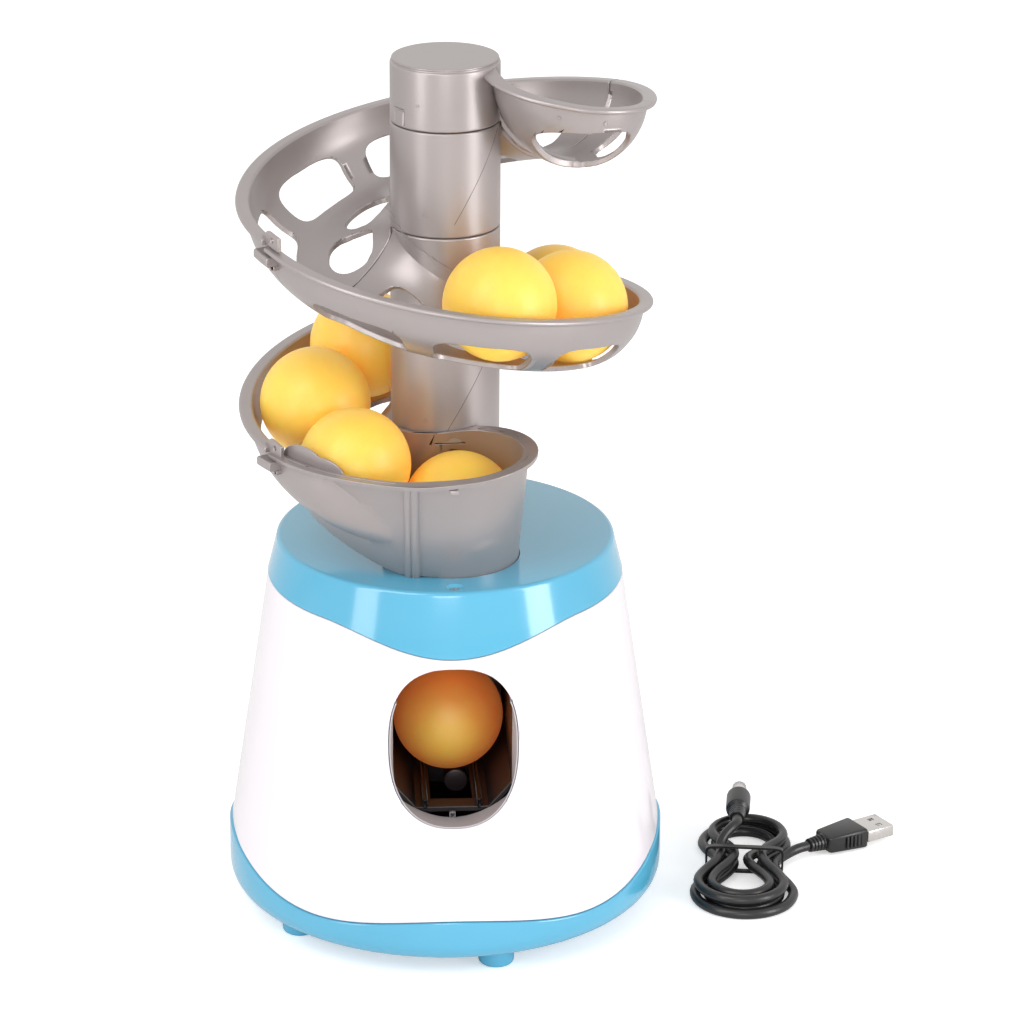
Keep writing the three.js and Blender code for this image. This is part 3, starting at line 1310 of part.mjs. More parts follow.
function addScrews() {
  const under = trayBottomZ - gap - screwHeadHeight;
  screwPlaces().forEach((place, i) => addPiece(
    `body_screw_${i + 1}`, screwUp(place, under, screwHeadRadius, screwRibLowZ), metalFinish));
  const bossTop = coverTopZ - coverWall;
  coverScrewPlaces().forEach((place, i) => {
    const headTop = bossTop + (screwHeadHeight * 2) / 3;
    const head = post(place.x, place.y, smallHeadRadius, bossTop, headTop, screwSides);
    const low = coverTopZ - coverBossDepth + gap;
    const shaft = post(place.x, place.y, screwRadius, low, bossTop + gap, screwSides);
    addPiece(`cover_screw_${i + 1}`, join(head, shaft), metalFinish);
  });
  const seatLow = coverTopZ - coverWall - gap - hopperFlangeThickness;
  const gripTop = coverTopZ - coverWall + hopperScrewGrip;
  hopperScrewPlaces().forEach((place, i) => {
    const screw = screwUp(place, seatLow - gap - screwHeadHeight, smallHeadRadius, gripTop);
    addPiece(`hopper_screw_${i + 1}`, screw, metalFinish);
  });
  [-1, 1].forEach((hand) => frameScrewYs.forEach((y, i) => {
    const reach = (from, to) => [hand * from, hand * to].sort((a, b) => a - b);
    const headStart = cheekOuterX + gap;
    const shaft = reach(cheekInnerX - gap - cradleWall / 2, headStart + screwHeadHeight / 2);
    const head = reach(headStart, headStart + screwHeadHeight);
    addPiece(`${hand < 0 ? 'left' : 'right'}_frame_screw_${i + 1}`, join(
      barX(y, frameScrewZ, screwRadius, shaft[0], shaft[1], screwSides),
      barX(y, frameScrewZ, screwHeadRadius, head[0], head[1], screwSides)), metalFinish);
  }));
}

// Balls: seven queue on the track, one lies in the hopper, one waits in the tube, one is served.
function ball(place, grow = 0) {
  return solidOf(new THREE.SphereGeometry(ballRadius + grow, ballStepsAcross, ballStepsDown)
    .rotateX(quarterTurn * degree).translate(place.x, place.y, place.z));
}
const middleBallAngle = 77.8;
const ballSlopeLift = 0.8;
function ballStepAngle() {
  let step = halfTurn / 4;
  for (let i = 0; i < 20; i += 1) {
    const fall = (pitch * step) / fullTurn;
    step = (2 * Math.asin(Math.sqrt(touching ** 2 - fall ** 2) / (2 * pathRadius))) / degree;
  }
  return step;
}
function addBalls() {
  const step = ballStepAngle();
  for (let i = 0; i < queueBalls; i += 1) {
    const angle = middleBallAngle + (i - (queueBalls - 1) / 2) * step;
    addPiece(`track_ball_${i + 1}`, ball(onCylinder(
      pathRadius, angle, pathHeight(angle) + ballSlopeLift)), ballFinish);
  }
  addPiece('hopper_ball', ball(hopperBall), ballFinish);
  addPiece('tube_ball', ball(new THREE.Vector3(feedX, feedY, tubeBallZ)), ballFinish);
  addPiece('launch_ball', ball(new THREE.Vector3(0, serveY, launchZ)), ballFinish);
}

// The cable: a tied hank of loops, wound inwards on the floor and outwards again on top.
const hankPlace = (across, along, height) => {
  const lean = hankLean * degree;
  return new THREE.Vector3(
    hankX + across * Math.cos(lean) - along * Math.sin(lean),
    hankY + across * Math.sin(lean) + along * Math.cos(lean),
    height);
};
const floorHeight = cableDiameter / 2;
const waistAt = (along) => (Math.abs(along) < hankHalfRun
  ? Math.cos((along / hankHalfRun) * quarterTurn * degree) ** 2
  : 0);

// One place on the racetrack of a loop: turns is how many loops have been wound.
function hankPoint(turns) {
  const layers = 2;
  const loopsPerLayer = 2;
  const inward = turns < loopsPerLayer ? turns : layers * loopsPerLayer - turns;
  const half = hankOuterHalf - hankStep * inward;
  const stepsShare = 2 * runStepsShare + 2 * turnStepsShare + 2 * runStepsShare;
  const step = (turns % 1) * stepsShare;
  const climbed = (turns - loopsPerLayer) * (stepsShare / (2 * runStepsShare)) + 0.5;
  const climbShare = Math.min(Math.max(climbed, 0), 1);
  let along;
  let across;
  if (step < runStepsShare) {
    along = (-hankHalfRun * step) / runStepsShare;
    across = half - hankWaist * waistAt(along);
  } else if (step < runStepsShare + turnStepsShare) {
    const way = ((step - runStepsShare) / turnStepsShare) * halfTurn * degree;
    along = -hankHalfRun - half * Math.sin(way);
    across = half * Math.cos(way);
  } else if (step < 3 * runStepsShare + turnStepsShare) {
    along = -hankHalfRun + (hankHalfRun * (step - runStepsShare - turnStepsShare)) / runStepsShare;
    across = -half + hankWaist * waistAt(along);
  } else if (step < 3 * runStepsShare + 2 * turnStepsShare) {
    const way = ((step - 3 * runStepsShare - turnStepsShare) / turnStepsShare) * halfTurn * degree;
    along = hankHalfRun + half * Math.sin(way);
    across = -half * Math.cos(way);
  } else {
    along = hankHalfRun - (hankHalfRun * (step - 3 * runStepsShare - 2 * turnStepsShare)) / runStepsShare;
    across = half - hankWaist * waistAt(along);
  }
  const height = floorHeight + layerStep * climbShare + hankTieLift * waistAt(along);
  return { across, along, height };
}

function cableRoute() {
  const points = [];
  const usbWay = new THREE.Vector2(Math.sin(-usbPlug.turn * degree), Math.cos(usbPlug.turn * degree));
  const usbStart = (back) => hankPlace(
    usbPlug.across - usbWay.x * back, usbPlug.along - usbWay.y * back, usbPlug.height);
  points.push(usbStart(0), usbStart(cableDiameter), ...usbRoute.map((spot) => hankPlace(...spot)));
  const steps = 24;
  const total = hankLoops * steps;
  for (let i = 0; i <= total; i += 1) {
    const spot = hankPoint(i / steps);
    points.push(hankPlace(spot.across, spot.along, spot.height));
  }
  points.push(...barrelRoute.map((spot) => hankPlace(...spot)));
  points.push(hankPlace(barrelPlug.across, barrelPlug.along - cableDiameter, barrelPlug.height));
  points.push(hankPlace(barrelPlug.across, barrelPlug.along, barrelPlug.height));
  return points;
}

// A turned piece that points along the hank, set back from the cable's end.
function turnedAlong(profile, across, along, height) {
  const turned = spin(profile, 12);
  const lean = new THREE.Matrix4().makeRotationZ(hankLean * degree)
    .multiply(new THREE.Matrix4().makeRotationX(-quarterTurn * degree));
  const place = hankPlace(across, along, height);
  lean.setPosition(place);
  return turned.transform(lean.elements);
}

function addCable() {
  const points = cableRoute();
  let length = 0;
  points.forEach((point, i) => {
    if (i > 0) length += point.distanceTo(points[i - 1]);
  });
  console.log('cable: length', length.toFixed(0), 'least gap', leastGap(points, cableDiameter, 4).toFixed(2));
  addPiece('cable_hank', tubeAlong(points, cableDiameter / 2, cableSides), blackFinish);
  const tieMiddle = hankPlace(0, 0, tieHeight / 2 + halfGap);
  const band = (inset) => prismY(
    oval(tieHalfSpan - inset, tieHeight / 2 - inset, tiePower, footSides),
    -tieHalfWidth - Math.sign(inset) * overrun, tieHalfWidth + Math.sign(inset) * overrun);
  const tie = cut(band(0), band(tieThickness)).rotate([0, 0, hankLean]);
  addPiece('cable_tie', tie.translate([tieMiddle.x, tieMiddle.y, tieMiddle.z]), blackFinish);
  const b = barrelPlug;
  addPiece('barrel_plug', turnedAlong([
    [0, gap],
    [b.reliefRadius, gap],
    [b.reliefRadius, b.relief],
    [b.radius, b.relief + overrun],
    [b.radius, b.relief + b.length],
    [0, b.relief + b.length],
  ], b.across, b.along, b.height), blackFinish);
  const sleeveStart = b.relief + b.length + gap;
  addPiece('barrel_plug_sleeve', turnedAlong([
    [barrelSleeve.boreRadius, sleeveStart],
    [barrelSleeve.radius, sleeveStart],
    [barrelSleeve.radius, sleeveStart + barrelSleeve.length],
    [barrelSleeve.boreRadius, sleeveStart + barrelSleeve.length],
  ], b.across, b.along, b.height), metalFinish);
  const u = usbPlug;
  const relief = barY(0, 0, u.reliefRadius, gap, u.relief + overrun, 8);
  const grip = block(-u.halfWidth, u.halfWidth, u.relief, u.relief + u.length, -u.halfHeight, u.halfHeight);
  const shellStart = u.relief + u.length + gap;
  const shell = block(-usbShell.halfWidth, usbShell.halfWidth, shellStart, shellStart + usbShell.length,
    -usbShell.halfHeight, usbShell.halfHeight);
  const mouth = block(-usbShell.halfWidth + usbShell.wall, usbShell.halfWidth - usbShell.wall,
    shellStart + overrun, shellStart + usbShell.length + overrun,
    -usbShell.halfHeight + usbShell.wall, usbShell.halfHeight - usbShell.wall);
  const start = hankPlace(u.across, u.along, u.height);
  const laid = (solid) => solid.rotate([0, 0, hankLean + u.turn]).translate([start.x, start.y, start.z]);
  addPiece('usb_plug', laid(join(relief, grip)), blackFinish);
  addPiece('usb_plug_shell', laid(cut(shell, mouth)), metalFinish);
}

addTray();
addBody();
addCover();
addHopper();
addSpiralSections();
addCap();
addChute();
addCradle();
addFrame();
addStriker();
addSpring();
addSectorGear();
addDrive();
addBattery();
addElectronics();
addRearPanel();
addScrews();
addBalls();
addCable();

export default model;
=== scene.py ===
# %% [markdown]
# # A table tennis robot
# A toy robot that throws table tennis balls: a white body on a blue tray, a hopper, and a spiral
# track that queues the balls round a hollow column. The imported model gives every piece's place;
# this lesson dresses it. Lengths in the cells are millimetres until a piece is finished.

import json
import math
import random

import bmesh
import bpy
from mathutils import Matrix, Vector

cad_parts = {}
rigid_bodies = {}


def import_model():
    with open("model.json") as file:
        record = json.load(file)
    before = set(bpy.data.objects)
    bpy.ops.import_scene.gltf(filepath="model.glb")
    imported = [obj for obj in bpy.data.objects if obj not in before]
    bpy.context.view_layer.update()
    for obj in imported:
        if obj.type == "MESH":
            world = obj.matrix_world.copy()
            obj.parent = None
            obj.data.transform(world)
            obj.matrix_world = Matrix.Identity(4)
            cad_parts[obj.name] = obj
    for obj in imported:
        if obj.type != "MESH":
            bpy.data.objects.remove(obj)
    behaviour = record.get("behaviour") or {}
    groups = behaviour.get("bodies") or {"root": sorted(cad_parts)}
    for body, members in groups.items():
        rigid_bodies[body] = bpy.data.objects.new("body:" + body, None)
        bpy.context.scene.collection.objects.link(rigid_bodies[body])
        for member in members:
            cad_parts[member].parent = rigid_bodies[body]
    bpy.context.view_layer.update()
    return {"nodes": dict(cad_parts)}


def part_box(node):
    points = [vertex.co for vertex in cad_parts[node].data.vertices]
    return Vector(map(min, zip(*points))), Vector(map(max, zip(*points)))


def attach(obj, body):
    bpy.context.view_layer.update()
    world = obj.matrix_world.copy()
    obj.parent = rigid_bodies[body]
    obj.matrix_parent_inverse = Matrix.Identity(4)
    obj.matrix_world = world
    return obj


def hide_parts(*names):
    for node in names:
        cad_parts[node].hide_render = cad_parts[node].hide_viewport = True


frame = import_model()

# %% [markdown]
# ## The camera
# The photograph was matched by its round rims: the camera stands 1.6 m away, a little to the left, and
# looks down by 21 degrees. A long lens and a small sideways shift give its framing.

# %% Place the camera
METRE = 0.001
EYE = Vector((-67.6, -1489.7, 729.9)) * METRE
TARGET = Vector((0.0, 0.0, 150.0)) * METRE
lens = bpy.data.cameras.new("studio_camera")
lens.lens = 155.3
lens.sensor_width = 36.0
lens.shift_x = 0.0653
lens.clip_start = 0.05
lens.clip_end = 20.0
camera = bpy.data.objects.new("studio_camera", lens)
camera.location = EYE
camera.rotation_euler = (TARGET - EYE).to_track_quat("-Z", "Y").to_euler()
bpy.context.collection.objects.link(camera)
bpy.context.scene.camera = camera
looks_down = math.degrees(math.asin((EYE - TARGET).normalized().z))
print("camera looks down by", round(looks_down, 2), "degrees")

# %% [markdown]
# ## Helpers for shapes
# Three things repeat all over the robot: a profile turned round the axis, an outline carried along
# the spiral, and a hole cut through a wall. In each case a plain strip is spun or extruded first and
# its points are then moved by a formula, so a wavy rim costs no more than a straight one. Holes and
# joins are booleans between closed shapes, which leave a closed shape again.

# %% Finish a mesh as a piece of the robot
def finish_piece(name, mesh_source, body="root", nodes=(), material=None, sharp=32):
    """Turns a bmesh in millimetres into an object in metres that rides on a body."""
    bmesh.ops.scale(mesh_source, vec=(METRE, METRE, METRE), verts=mesh_source.verts)
    mesh = bpy.data.meshes.new(name)
    mesh_source.to_mesh(mesh)
    mesh_source.free()
    for face in mesh.polygons:
        face.use_smooth = True
    mesh.set_sharp_from_angle(angle=math.radians(sharp))
    piece = bpy.data.objects.new(name, mesh)
    bpy.context.collection.objects.link(piece)
    if material:
        mesh.materials.append(material)
    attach(piece, body)
    if nodes:
        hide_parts(*nodes)
    print(name, "has", len(mesh.polygons), "faces")
    return piece


def soft_edges(piece, width=0.3, angle=38, segments=2):
    """Rounds the sharp edges of a finished piece by a bevel: no moulding has a knife edge."""
    edge = piece.modifiers.new("soft edges", "BEVEL")
    edge.width, edge.segments = width * METRE, segments
    edge.limit_method, edge.angle_limit = "ANGLE", math.radians(angle)
    edge.use_clamp_overlap = False
    edge.miter_outer = "MITER_SHARP"
    return piece


# %% Face a closed shape outwards
def faced_out(shape):
    """Turns every face outwards: only then does the volume come out positive."""
    bmesh.ops.recalc_face_normals(shape, faces=shape.faces)
    if shape.calc_volume(signed=True) < 0:
        bmesh.ops.reverse_faces(shape, faces=shape.faces)
    return shape


# %% Turn a profile round the axis
def looped(points_at, steps):
    """Spins a strip full circle and moves its points where points_at(angle) wants them."""
    shape = bmesh.new()
    count = len(points_at(0.0))
    strip = [shape.verts.new((1.0, 0.0, float(k))) for k in range(count)]
    edges = [shape.edges.new((strip[k], strip[(k + 1) % count])) for k in range(count)]
    bmesh.ops.spin(shape, geom=strip + edges, axis=(0, 0, 1), cent=(0, 0, 0), angle=math.tau,
                   steps=steps, use_merge=True)
    cache = {}
    for vert in shape.verts:
        angle = round(math.degrees(math.atan2(vert.co.y, vert.co.x)), 4)
        if angle not in cache:
            cache[angle] = points_at(angle)
        vert.co = cache[angle][int(round(vert.co.z))]
    bmesh.ops.remove_doubles(shape, verts=shape.verts, dist=0.002)
    return faced_out(shape)


def turned(profile_at, steps):
    """A loop round the axis: the profile gives radius and height, and may change with the angle."""
    def points_at(angle):
        way = math.radians(angle)
        return [(radius * math.cos(way), radius * math.sin(way), height)
                for radius, height in profile_at(angle)]

    return looped(points_at, steps)


def arc(x, y, radius, start, end, steps):
    """Points on an arc, with angles in degrees."""
    places = []
    for i in range(steps + 1):
        way = math.radians(start + (end - start) * i / steps)
        places.append((x + radius * math.cos(way), y + radius * math.sin(way)))
    return places


# %% Carry an outline along a path
FAN = 300.0


def swept(outline, start, end, steps, place):
    """Spins a flat outline and lets place(x, y, angle) say where each of its points goes.

    The spin opens a fan of 300 degrees, so that its two ends stay apart whatever the path is."""
    shape = bmesh.new()
    sweep = end - start
    ring = [shape.verts.new((1.0, 0.0, float(k))) for k in range(len(outline))]
    edges = [shape.edges.new((ring[k], ring[(k + 1) % len(ring)])) for k in range(len(ring))]
    made = bmesh.ops.spin(shape, geom=ring + edges, axis=(0, 0, 1), cent=(0, 0, 0),
                          angle=math.radians(FAN), steps=steps)
    last = [v for v in made["geom_last"] if isinstance(v, bmesh.types.BMVert)]
    last.sort(key=lambda v: v.co.z)
    shape.faces.new(ring)
    shape.faces.new(list(reversed(last)))
    for vert in shape.verts:
        turn = math.degrees(math.atan2(vert.co.y, vert.co.x)) % 360.0
        share = 0.0 if turn > 359.0 else turn / FAN
        x, y = outline[int(round(vert.co.z))]
        vert.co = place(x, y, start + sweep * share)
    return faced_out(shape)


# %% Cut one shape with others, or join them
def loose(name, shape):
    """Turns a bmesh into an object that is no piece of the robot yet."""
    mesh = bpy.data.meshes.new(name)
    shape.to_mesh(mesh)
    shape.free()
    thing = bpy.data.objects.new(name, mesh)
    bpy.context.collection.objects.link(thing)
    return thing


def combined(shape, tools, operation="DIFFERENCE"):
    """Applies one boolean per tool to closed shapes and returns the result as a new bmesh."""
    whole = loose("whole", shape)
    for tool in tools:
        other = loose("tool", tool)
        change = whole.modifiers.new("change", "BOOLEAN")
        change.operation = operation
        change.solver = "MANIFOLD"
        change.object = other
        depsgraph = bpy.context.evaluated_depsgraph_get()
        mesh = bpy.data.meshes.new_from_object(whole.evaluated_get(depsgraph))
        whole.modifiers.clear()
        old = whole.data
        whole.data = mesh
        bpy.data.meshes.remove(old)
        bpy.data.objects.remove(other)
    result = bmesh.new()
    result.from_mesh(whole.data)
    bpy.data.objects.remove(whole)
    return result


def merged(*shapes):
    """Puts several closed shapes into one bmesh."""
    whole = bmesh.new()
    for shape in shapes:
        mesh = bpy.data.meshes.new("part")
        shape.to_mesh(mesh)
        shape.free()
        whole.from_mesh(mesh)
        bpy.data.meshes.remove(mesh)
    return whole


# %% Make round and square blocks
def cylinder(start, end, radius, segments=48, radius_end=None):
    """A closed cylinder or cone between two points."""
    start, end = Vector(start), Vector(end)
    shape = bmesh.new()
    bmesh.ops.create_cone(shape, cap_ends=True, segments=segments, radius1=radius,
                          radius2=radius if radius_end is None else radius_end,
                          depth=(end - start).length)
    turn = (end - start).to_track_quat("Z", "Y").to_matrix().to_4x4()
    bmesh.ops.transform(shape, matrix=Matrix.Translation((start + end) / 2) @ turn, verts=shape.verts)
    return shape


def brick(low, high, bevel=0.0, segments=2):
    """A closed box between two corners, with rounded edges."""
    low, high = Vector(low), Vector(high)
    shape = bmesh.new()
    bmesh.ops.create_cube(shape, size=1.0)
    bmesh.ops.scale(shape, vec=high - low, verts=shape.verts)
    bmesh.ops.translate(shape, vec=(low + high) / 2, verts=shape.verts)
    if bevel:
        bmesh.ops.bevel(shape, geom=shape.edges[:], offset=bevel, segments=segments, profile=0.5,
                        affect="EDGES", material=-1)
    return shape


# %% Draw an oval and extrude an outline
def rounded(half_x, half_y, power, points):
    """A superellipse: an oval at power 2, nearly a rectangle at 6."""
    outline = []
    for i in range(points):
        way = math.tau * (i + 0.5) / points
        x, y = math.cos(way), math.sin(way)
        outline.append((math.copysign(abs(x) ** (2 / power), x) * half_x,
                        math.copysign(abs(y) ** (2 / power), y) * half_y))
    return outline


def extruded(outline, depth, place, levels=1):
    """Extrudes a flat outline by depth and lets place(x, y, z) say where each point goes.

    A wall that twists is made in levels, because one long twisted quad can cut through its neighbour.
    The face that each further level covers is taken out, so that the shape stays hollow."""
    shape = bmesh.new()
    face = shape.faces.new([shape.verts.new((x, y, 0.0)) for x, y in outline])
    for level in range(levels):
        covered = face
        grown = bmesh.ops.extrude_face_region(shape, geom=[face])["geom"]
        face = [g for g in grown if isinstance(g, bmesh.types.BMFace)][0]
        bmesh.ops.translate(shape, vec=(0, 0, depth / levels), verts=face.verts)
        if level > 0:
            bmesh.ops.delete(shape, geom=[covered], context="FACES_ONLY")
    for vert in shape.verts:
        vert.co = place(*vert.co)
    return faced_out(shape)


# %% [markdown]
# ## Finishes
# Every moulding here is plastic: satin silver-grey for the tower, glossy sky blue for tray and cover,
# glossy white for the body, fine matt near-black inside, which is the packed parts' own black and,
# behind the window, painted shade. Real mouldings are never quite even, so each finish has a faint
# cloudiness, a very fine grain in its bump and a roughness that wanders a little.

# %% Make a moulded plastic
def moulded(name, colour, roughness, cloud=0.03, grain=0.02, grain_size=0.0012, coat=0.0,
            subsurface=0.0):
    """A plastic of one colour: cloud is how far it varies, grain how strong its skin's bump is."""
    material = bpy.data.materials.new(name)
    material.use_nodes = True
    nodes, links = material.node_tree.nodes, material.node_tree.links
    shader = nodes["Principled BSDF"]
    place = nodes.new("ShaderNodeTexCoord")
    clouds = nodes.new("ShaderNodeTexNoise")
    clouds.inputs["Scale"].default_value = 22.0
    clouds.inputs["Detail"].default_value = 3.0
    links.new(place.outputs["Object"], clouds.inputs["Vector"])
    ramp = nodes.new("ShaderNodeValToRGB")
    ramp.color_ramp.elements[0].position = 0.3
    ramp.color_ramp.elements[1].position = 0.7
    ramp.color_ramp.elements[0].color = (*[c * (1 - cloud) for c in colour], 1)
    ramp.color_ramp.elements[1].color = (*[min(1, c * (1 + cloud)) for c in colour], 1)
    links.new(clouds.outputs["Fac"], ramp.inputs["Fac"])
    links.new(ramp.outputs["Color"], shader.inputs["Base Color"])
    skin = nodes.new("ShaderNodeTexNoise")
    skin.inputs["Scale"].default_value = 1.0 / grain_size
    skin.inputs["Detail"].default_value = 4.0
    links.new(place.outputs["Object"], skin.inputs["Vector"])
    bump = nodes.new("ShaderNodeBump")
    bump.inputs["Strength"].default_value = grain
    bump.inputs["Distance"].default_value = 0.0004
    links.new(skin.outputs["Fac"], bump.inputs["Height"])
    links.new(bump.outputs["Normal"], shader.inputs["Normal"])
    wander = nodes.new("ShaderNodeMapRange")
    wander.inputs["To Min"].default_value = max(0.02, roughness - 0.05)
    wander.inputs["To Max"].default_value = min(1.0, roughness + 0.05)
    links.new(clouds.outputs["Fac"], wander.inputs["Value"])
    links.new(wander.outputs["Result"], shader.inputs["Roughness"])
    shader.inputs["Coat Weight"].default_value = coat
    shader.inputs["Coat Roughness"].default_value = 0.08
    shader.inputs["Subsurface Weight"].default_value = subsurface
    shader.inputs["Subsurface Scale"].default_value = 0.004
    return material


# %% Mix the plastics
silver = moulded("satin_silver_plastic", (0.362, 0.325, 0.32), 0.34, cloud=0.03, grain=0.03)
silver.node_tree.nodes["Principled BSDF"].inputs["Metallic"].default_value = 0.5
sky_blue = moulded("sky_blue_plastic", (0.082, 0.375, 0.56), 0.16, cloud=0.015, grain=0.006, coat=0.5)
white = moulded("white_plastic", (0.775, 0.735, 0.775), 0.2, cloud=0.01, grain=0.008, coat=0.3)
# A near-black: the packed parts' own black, and painted shade on the cradle behind the window.
black = moulded("black_plastic", (0.011, 0.008, 0.009), 0.4, cloud=0.1, grain=0.06)
jacket = moulded("cable_jacket", (0.012, 0.011, 0.011), 0.32, cloud=0.15, grain=0.06)
nylon = moulded("gear_nylon", (0.72, 0.68, 0.6), 0.4)
laminate = moulded("board_laminate", (0.02, 0.11, 0.045), 0.35, cloud=0.12)
print("plastics made:", len(bpy.data.materials))

# %% [markdown]
# ### The balls' celluloid
# The thin shells let light through: lemon where light falls on them, orange where it only seeps in.
# This
# light and shade is painted: it is stored on the points of each ball as an attribute, from -1 in the
# shade to 1 in the light, and a colour ramp turns it into a tint. Scattering alone leaves the shaded
# side grey, so a weak painted glow of the same tint stands for the light that comes through the shell.
# The ball inside the body gets a duller copy with painted shade, because hardly any light reaches it.

# %% Paint light and shade on the balls as a tint
ball_skin = moulded("ball_plastic", (1.0, 1.0, 1.0), 0.42, cloud=0.01, grain=0.03, grain_size=0.0006,
                    subsurface=0.85)
nodes, links = ball_skin.node_tree.nodes, ball_skin.node_tree.links
shader = nodes["Principled BSDF"]
shader.inputs["Subsurface Scale"].default_value = 0.02
painted_light = nodes.new("ShaderNodeAttribute")
painted_light.attribute_name = "painted_light"
spread = nodes.new("ShaderNodeMapRange")
spread.inputs["From Min"].default_value = -1.0
spread.inputs["From Max"].default_value = 1.0
glow_ramp = nodes.new("ShaderNodeValToRGB")
stops = glow_ramp.color_ramp.elements
stops[0].position, stops[0].color = 0.0, (1.0, 0.33, 0.045, 1)
stops[1].position, stops[1].color = 1.0, (1.0, 0.62, 0.1, 1)
for position, colour in ((0.35, (1.0, 0.53, 0.085, 1)), (0.65, (1.0, 0.59, 0.1, 1))):
    stops.new(position).color = colour
tint = nodes.new("ShaderNodeMix")
tint.data_type, tint.blend_type = "RGBA", "MULTIPLY"
tint.inputs["Factor"].default_value = 1.0
clouded = shader.inputs["Base Color"].links[0].from_socket
links.new(painted_light.outputs["Fac"], spread.inputs["Value"])
links.new(spread.outputs["Result"], glow_ramp.inputs["Fac"])
links.new(glow_ramp.outputs["Color"], tint.inputs[6])
links.new(clouded, tint.inputs[7])
links.new(tint.outputs[2], shader.inputs["Base Color"])
print("celluloid stops:", len(stops))

# %% Paint a weak glow where light seeps through the shell
links.new(glow_ramp.outputs["Color"], shader.inputs["Emission Color"])
painted_glow = nodes.new("ShaderNodeMapRange")
painted_glow.inputs["From Min"].default_value = 1.0
painted_glow.inputs["From Max"].default_value = -1.0
painted_glow.inputs["To Max"].default_value = 0.44
links.new(painted_light.outputs["Fac"], painted_glow.inputs["Value"])
links.new(painted_glow.outputs["Result"], shader.inputs["Emission Strength"])
# The painted glow is too weak to count as a lamp, so it isn't sampled as one.
ball_skin.cycles.emission_sampling = "NONE"
print("glow in the shade:", round(painted_glow.inputs["To Max"].default_value, 2))

# %% Copy it for the ball in the shade
SHADED_STOPS = ((1.0, 0.25, 0.055, 1), (1.0, 0.38, 0.075, 1))
dim_skin = ball_skin.copy()
dim_skin.name = "shaded_ball_plastic"
dim_nodes = dim_skin.node_tree.nodes
dim_nodes[painted_glow.name].inputs["To Max"].default_value = 0.18
for stop, colour in zip(dim_nodes[glow_ramp.name].color_ramp.elements, SHADED_STOPS):
    stop.color = colour
print("made", dim_skin.name)


# %% Make a metal
def worked_metal(name, colour, roughness, brush=600.0):
    """A bare metal with fine brush lines, which run along Y and only change its roughness."""
    material = bpy.data.materials.new(name)
    material.use_nodes = True
    nodes, links = material.node_tree.nodes, material.node_tree.links
    shader = nodes["Principled BSDF"]
    shader.inputs["Base Color"].default_value = (*colour, 1)
    shader.inputs["Metallic"].default_value = 1.0
    place = nodes.new("ShaderNodeTexCoord")
    stretch = nodes.new("ShaderNodeMapping")
    stretch.inputs["Scale"].default_value = (1.0, 0.08, 1.0)
    lines = nodes.new("ShaderNodeTexNoise")
    lines.inputs["Scale"].default_value = brush
    links.new(place.outputs["Object"], stretch.inputs["Vector"])
    links.new(stretch.outputs["Vector"], lines.inputs["Vector"])
    wander = nodes.new("ShaderNodeMapRange")
    wander.inputs["To Min"].default_value = max(0.05, roughness - 0.08)
    wander.inputs["To Max"].default_value = roughness + 0.1
    links.new(lines.outputs["Fac"], wander.inputs["Value"])
    links.new(wander.outputs["Result"], shader.inputs["Roughness"])
    return material


steel = worked_metal("bright_steel", (0.62, 0.6, 0.58), 0.24)
plated = worked_metal("plated_strip", (0.66, 0.62, 0.55), 0.3)
print("metals made:", steel.name, "and", plated.name)

# %% [markdown]
# ## The cable
# A loose accessory: one black cable with a barrel plug at one end and a USB plug at the other, folded
# into a hank and tied at the waist. A curve suits it, because a curve keeps one thickness along a
# route. The loops are racetracks that are pinched at the tie, wound inwards on the floor and outwards
# again on top; the stretches to the plugs are points given one by one.

# %% Measure the hank
CABLE = 3.8
HANK_MIDDLE = (113.0, 6.0)
HANK_LEAN = math.radians(-8.0)
HALF_RUN, OUTER_HALF, LOOP_STEP, WAIST = 21.0, 19.6, 5.05, 8.2
LAYER_RISE, TIE_RISE = 4.4, 1.4
LOOPS, STEPS_A_LOOP = 3.5, 24
USB = dict(along=16.0, across=23.4, height=4.4, half_width=6.6, half_height=3.9, length=17.0,
           relief=7.0, turn=-53.0, relief_radius=2.9)
BARREL = dict(along=17.0, across=-3.5, height=14.3, radius=4.6, length=13.0, relief=6.5,
              relief_radius=3.0)
USB_ROUTE = [(17.6, 11.6, 3.9), (14.4, 8.0, 3.4), (12.2, 4.0, 3.3)]
BARREL_ROUTE = [(-8.9, 1.6, 7.8), (-9.1, 4.2, 9.6), (-7.6, 7.2, 12.0), (-4.9, 10.5, 13.9)]


# %% Walk round its loops
def on_hank(across, along, height):
    """A place in the hank's own directions, as a point of the room in millimetres."""
    return Vector((HANK_MIDDLE[0] + across * math.cos(HANK_LEAN) - along * math.sin(HANK_LEAN),
                   HANK_MIDDLE[1] + across * math.sin(HANK_LEAN) + along * math.cos(HANK_LEAN), height))


def waist_at(along):
    """How far the tie draws the loops in: 1 at the tie, 0 where the runs end."""
    return math.cos(math.radians(90.0 * along / HALF_RUN)) ** 2 if abs(along) < HALF_RUN else 0.0


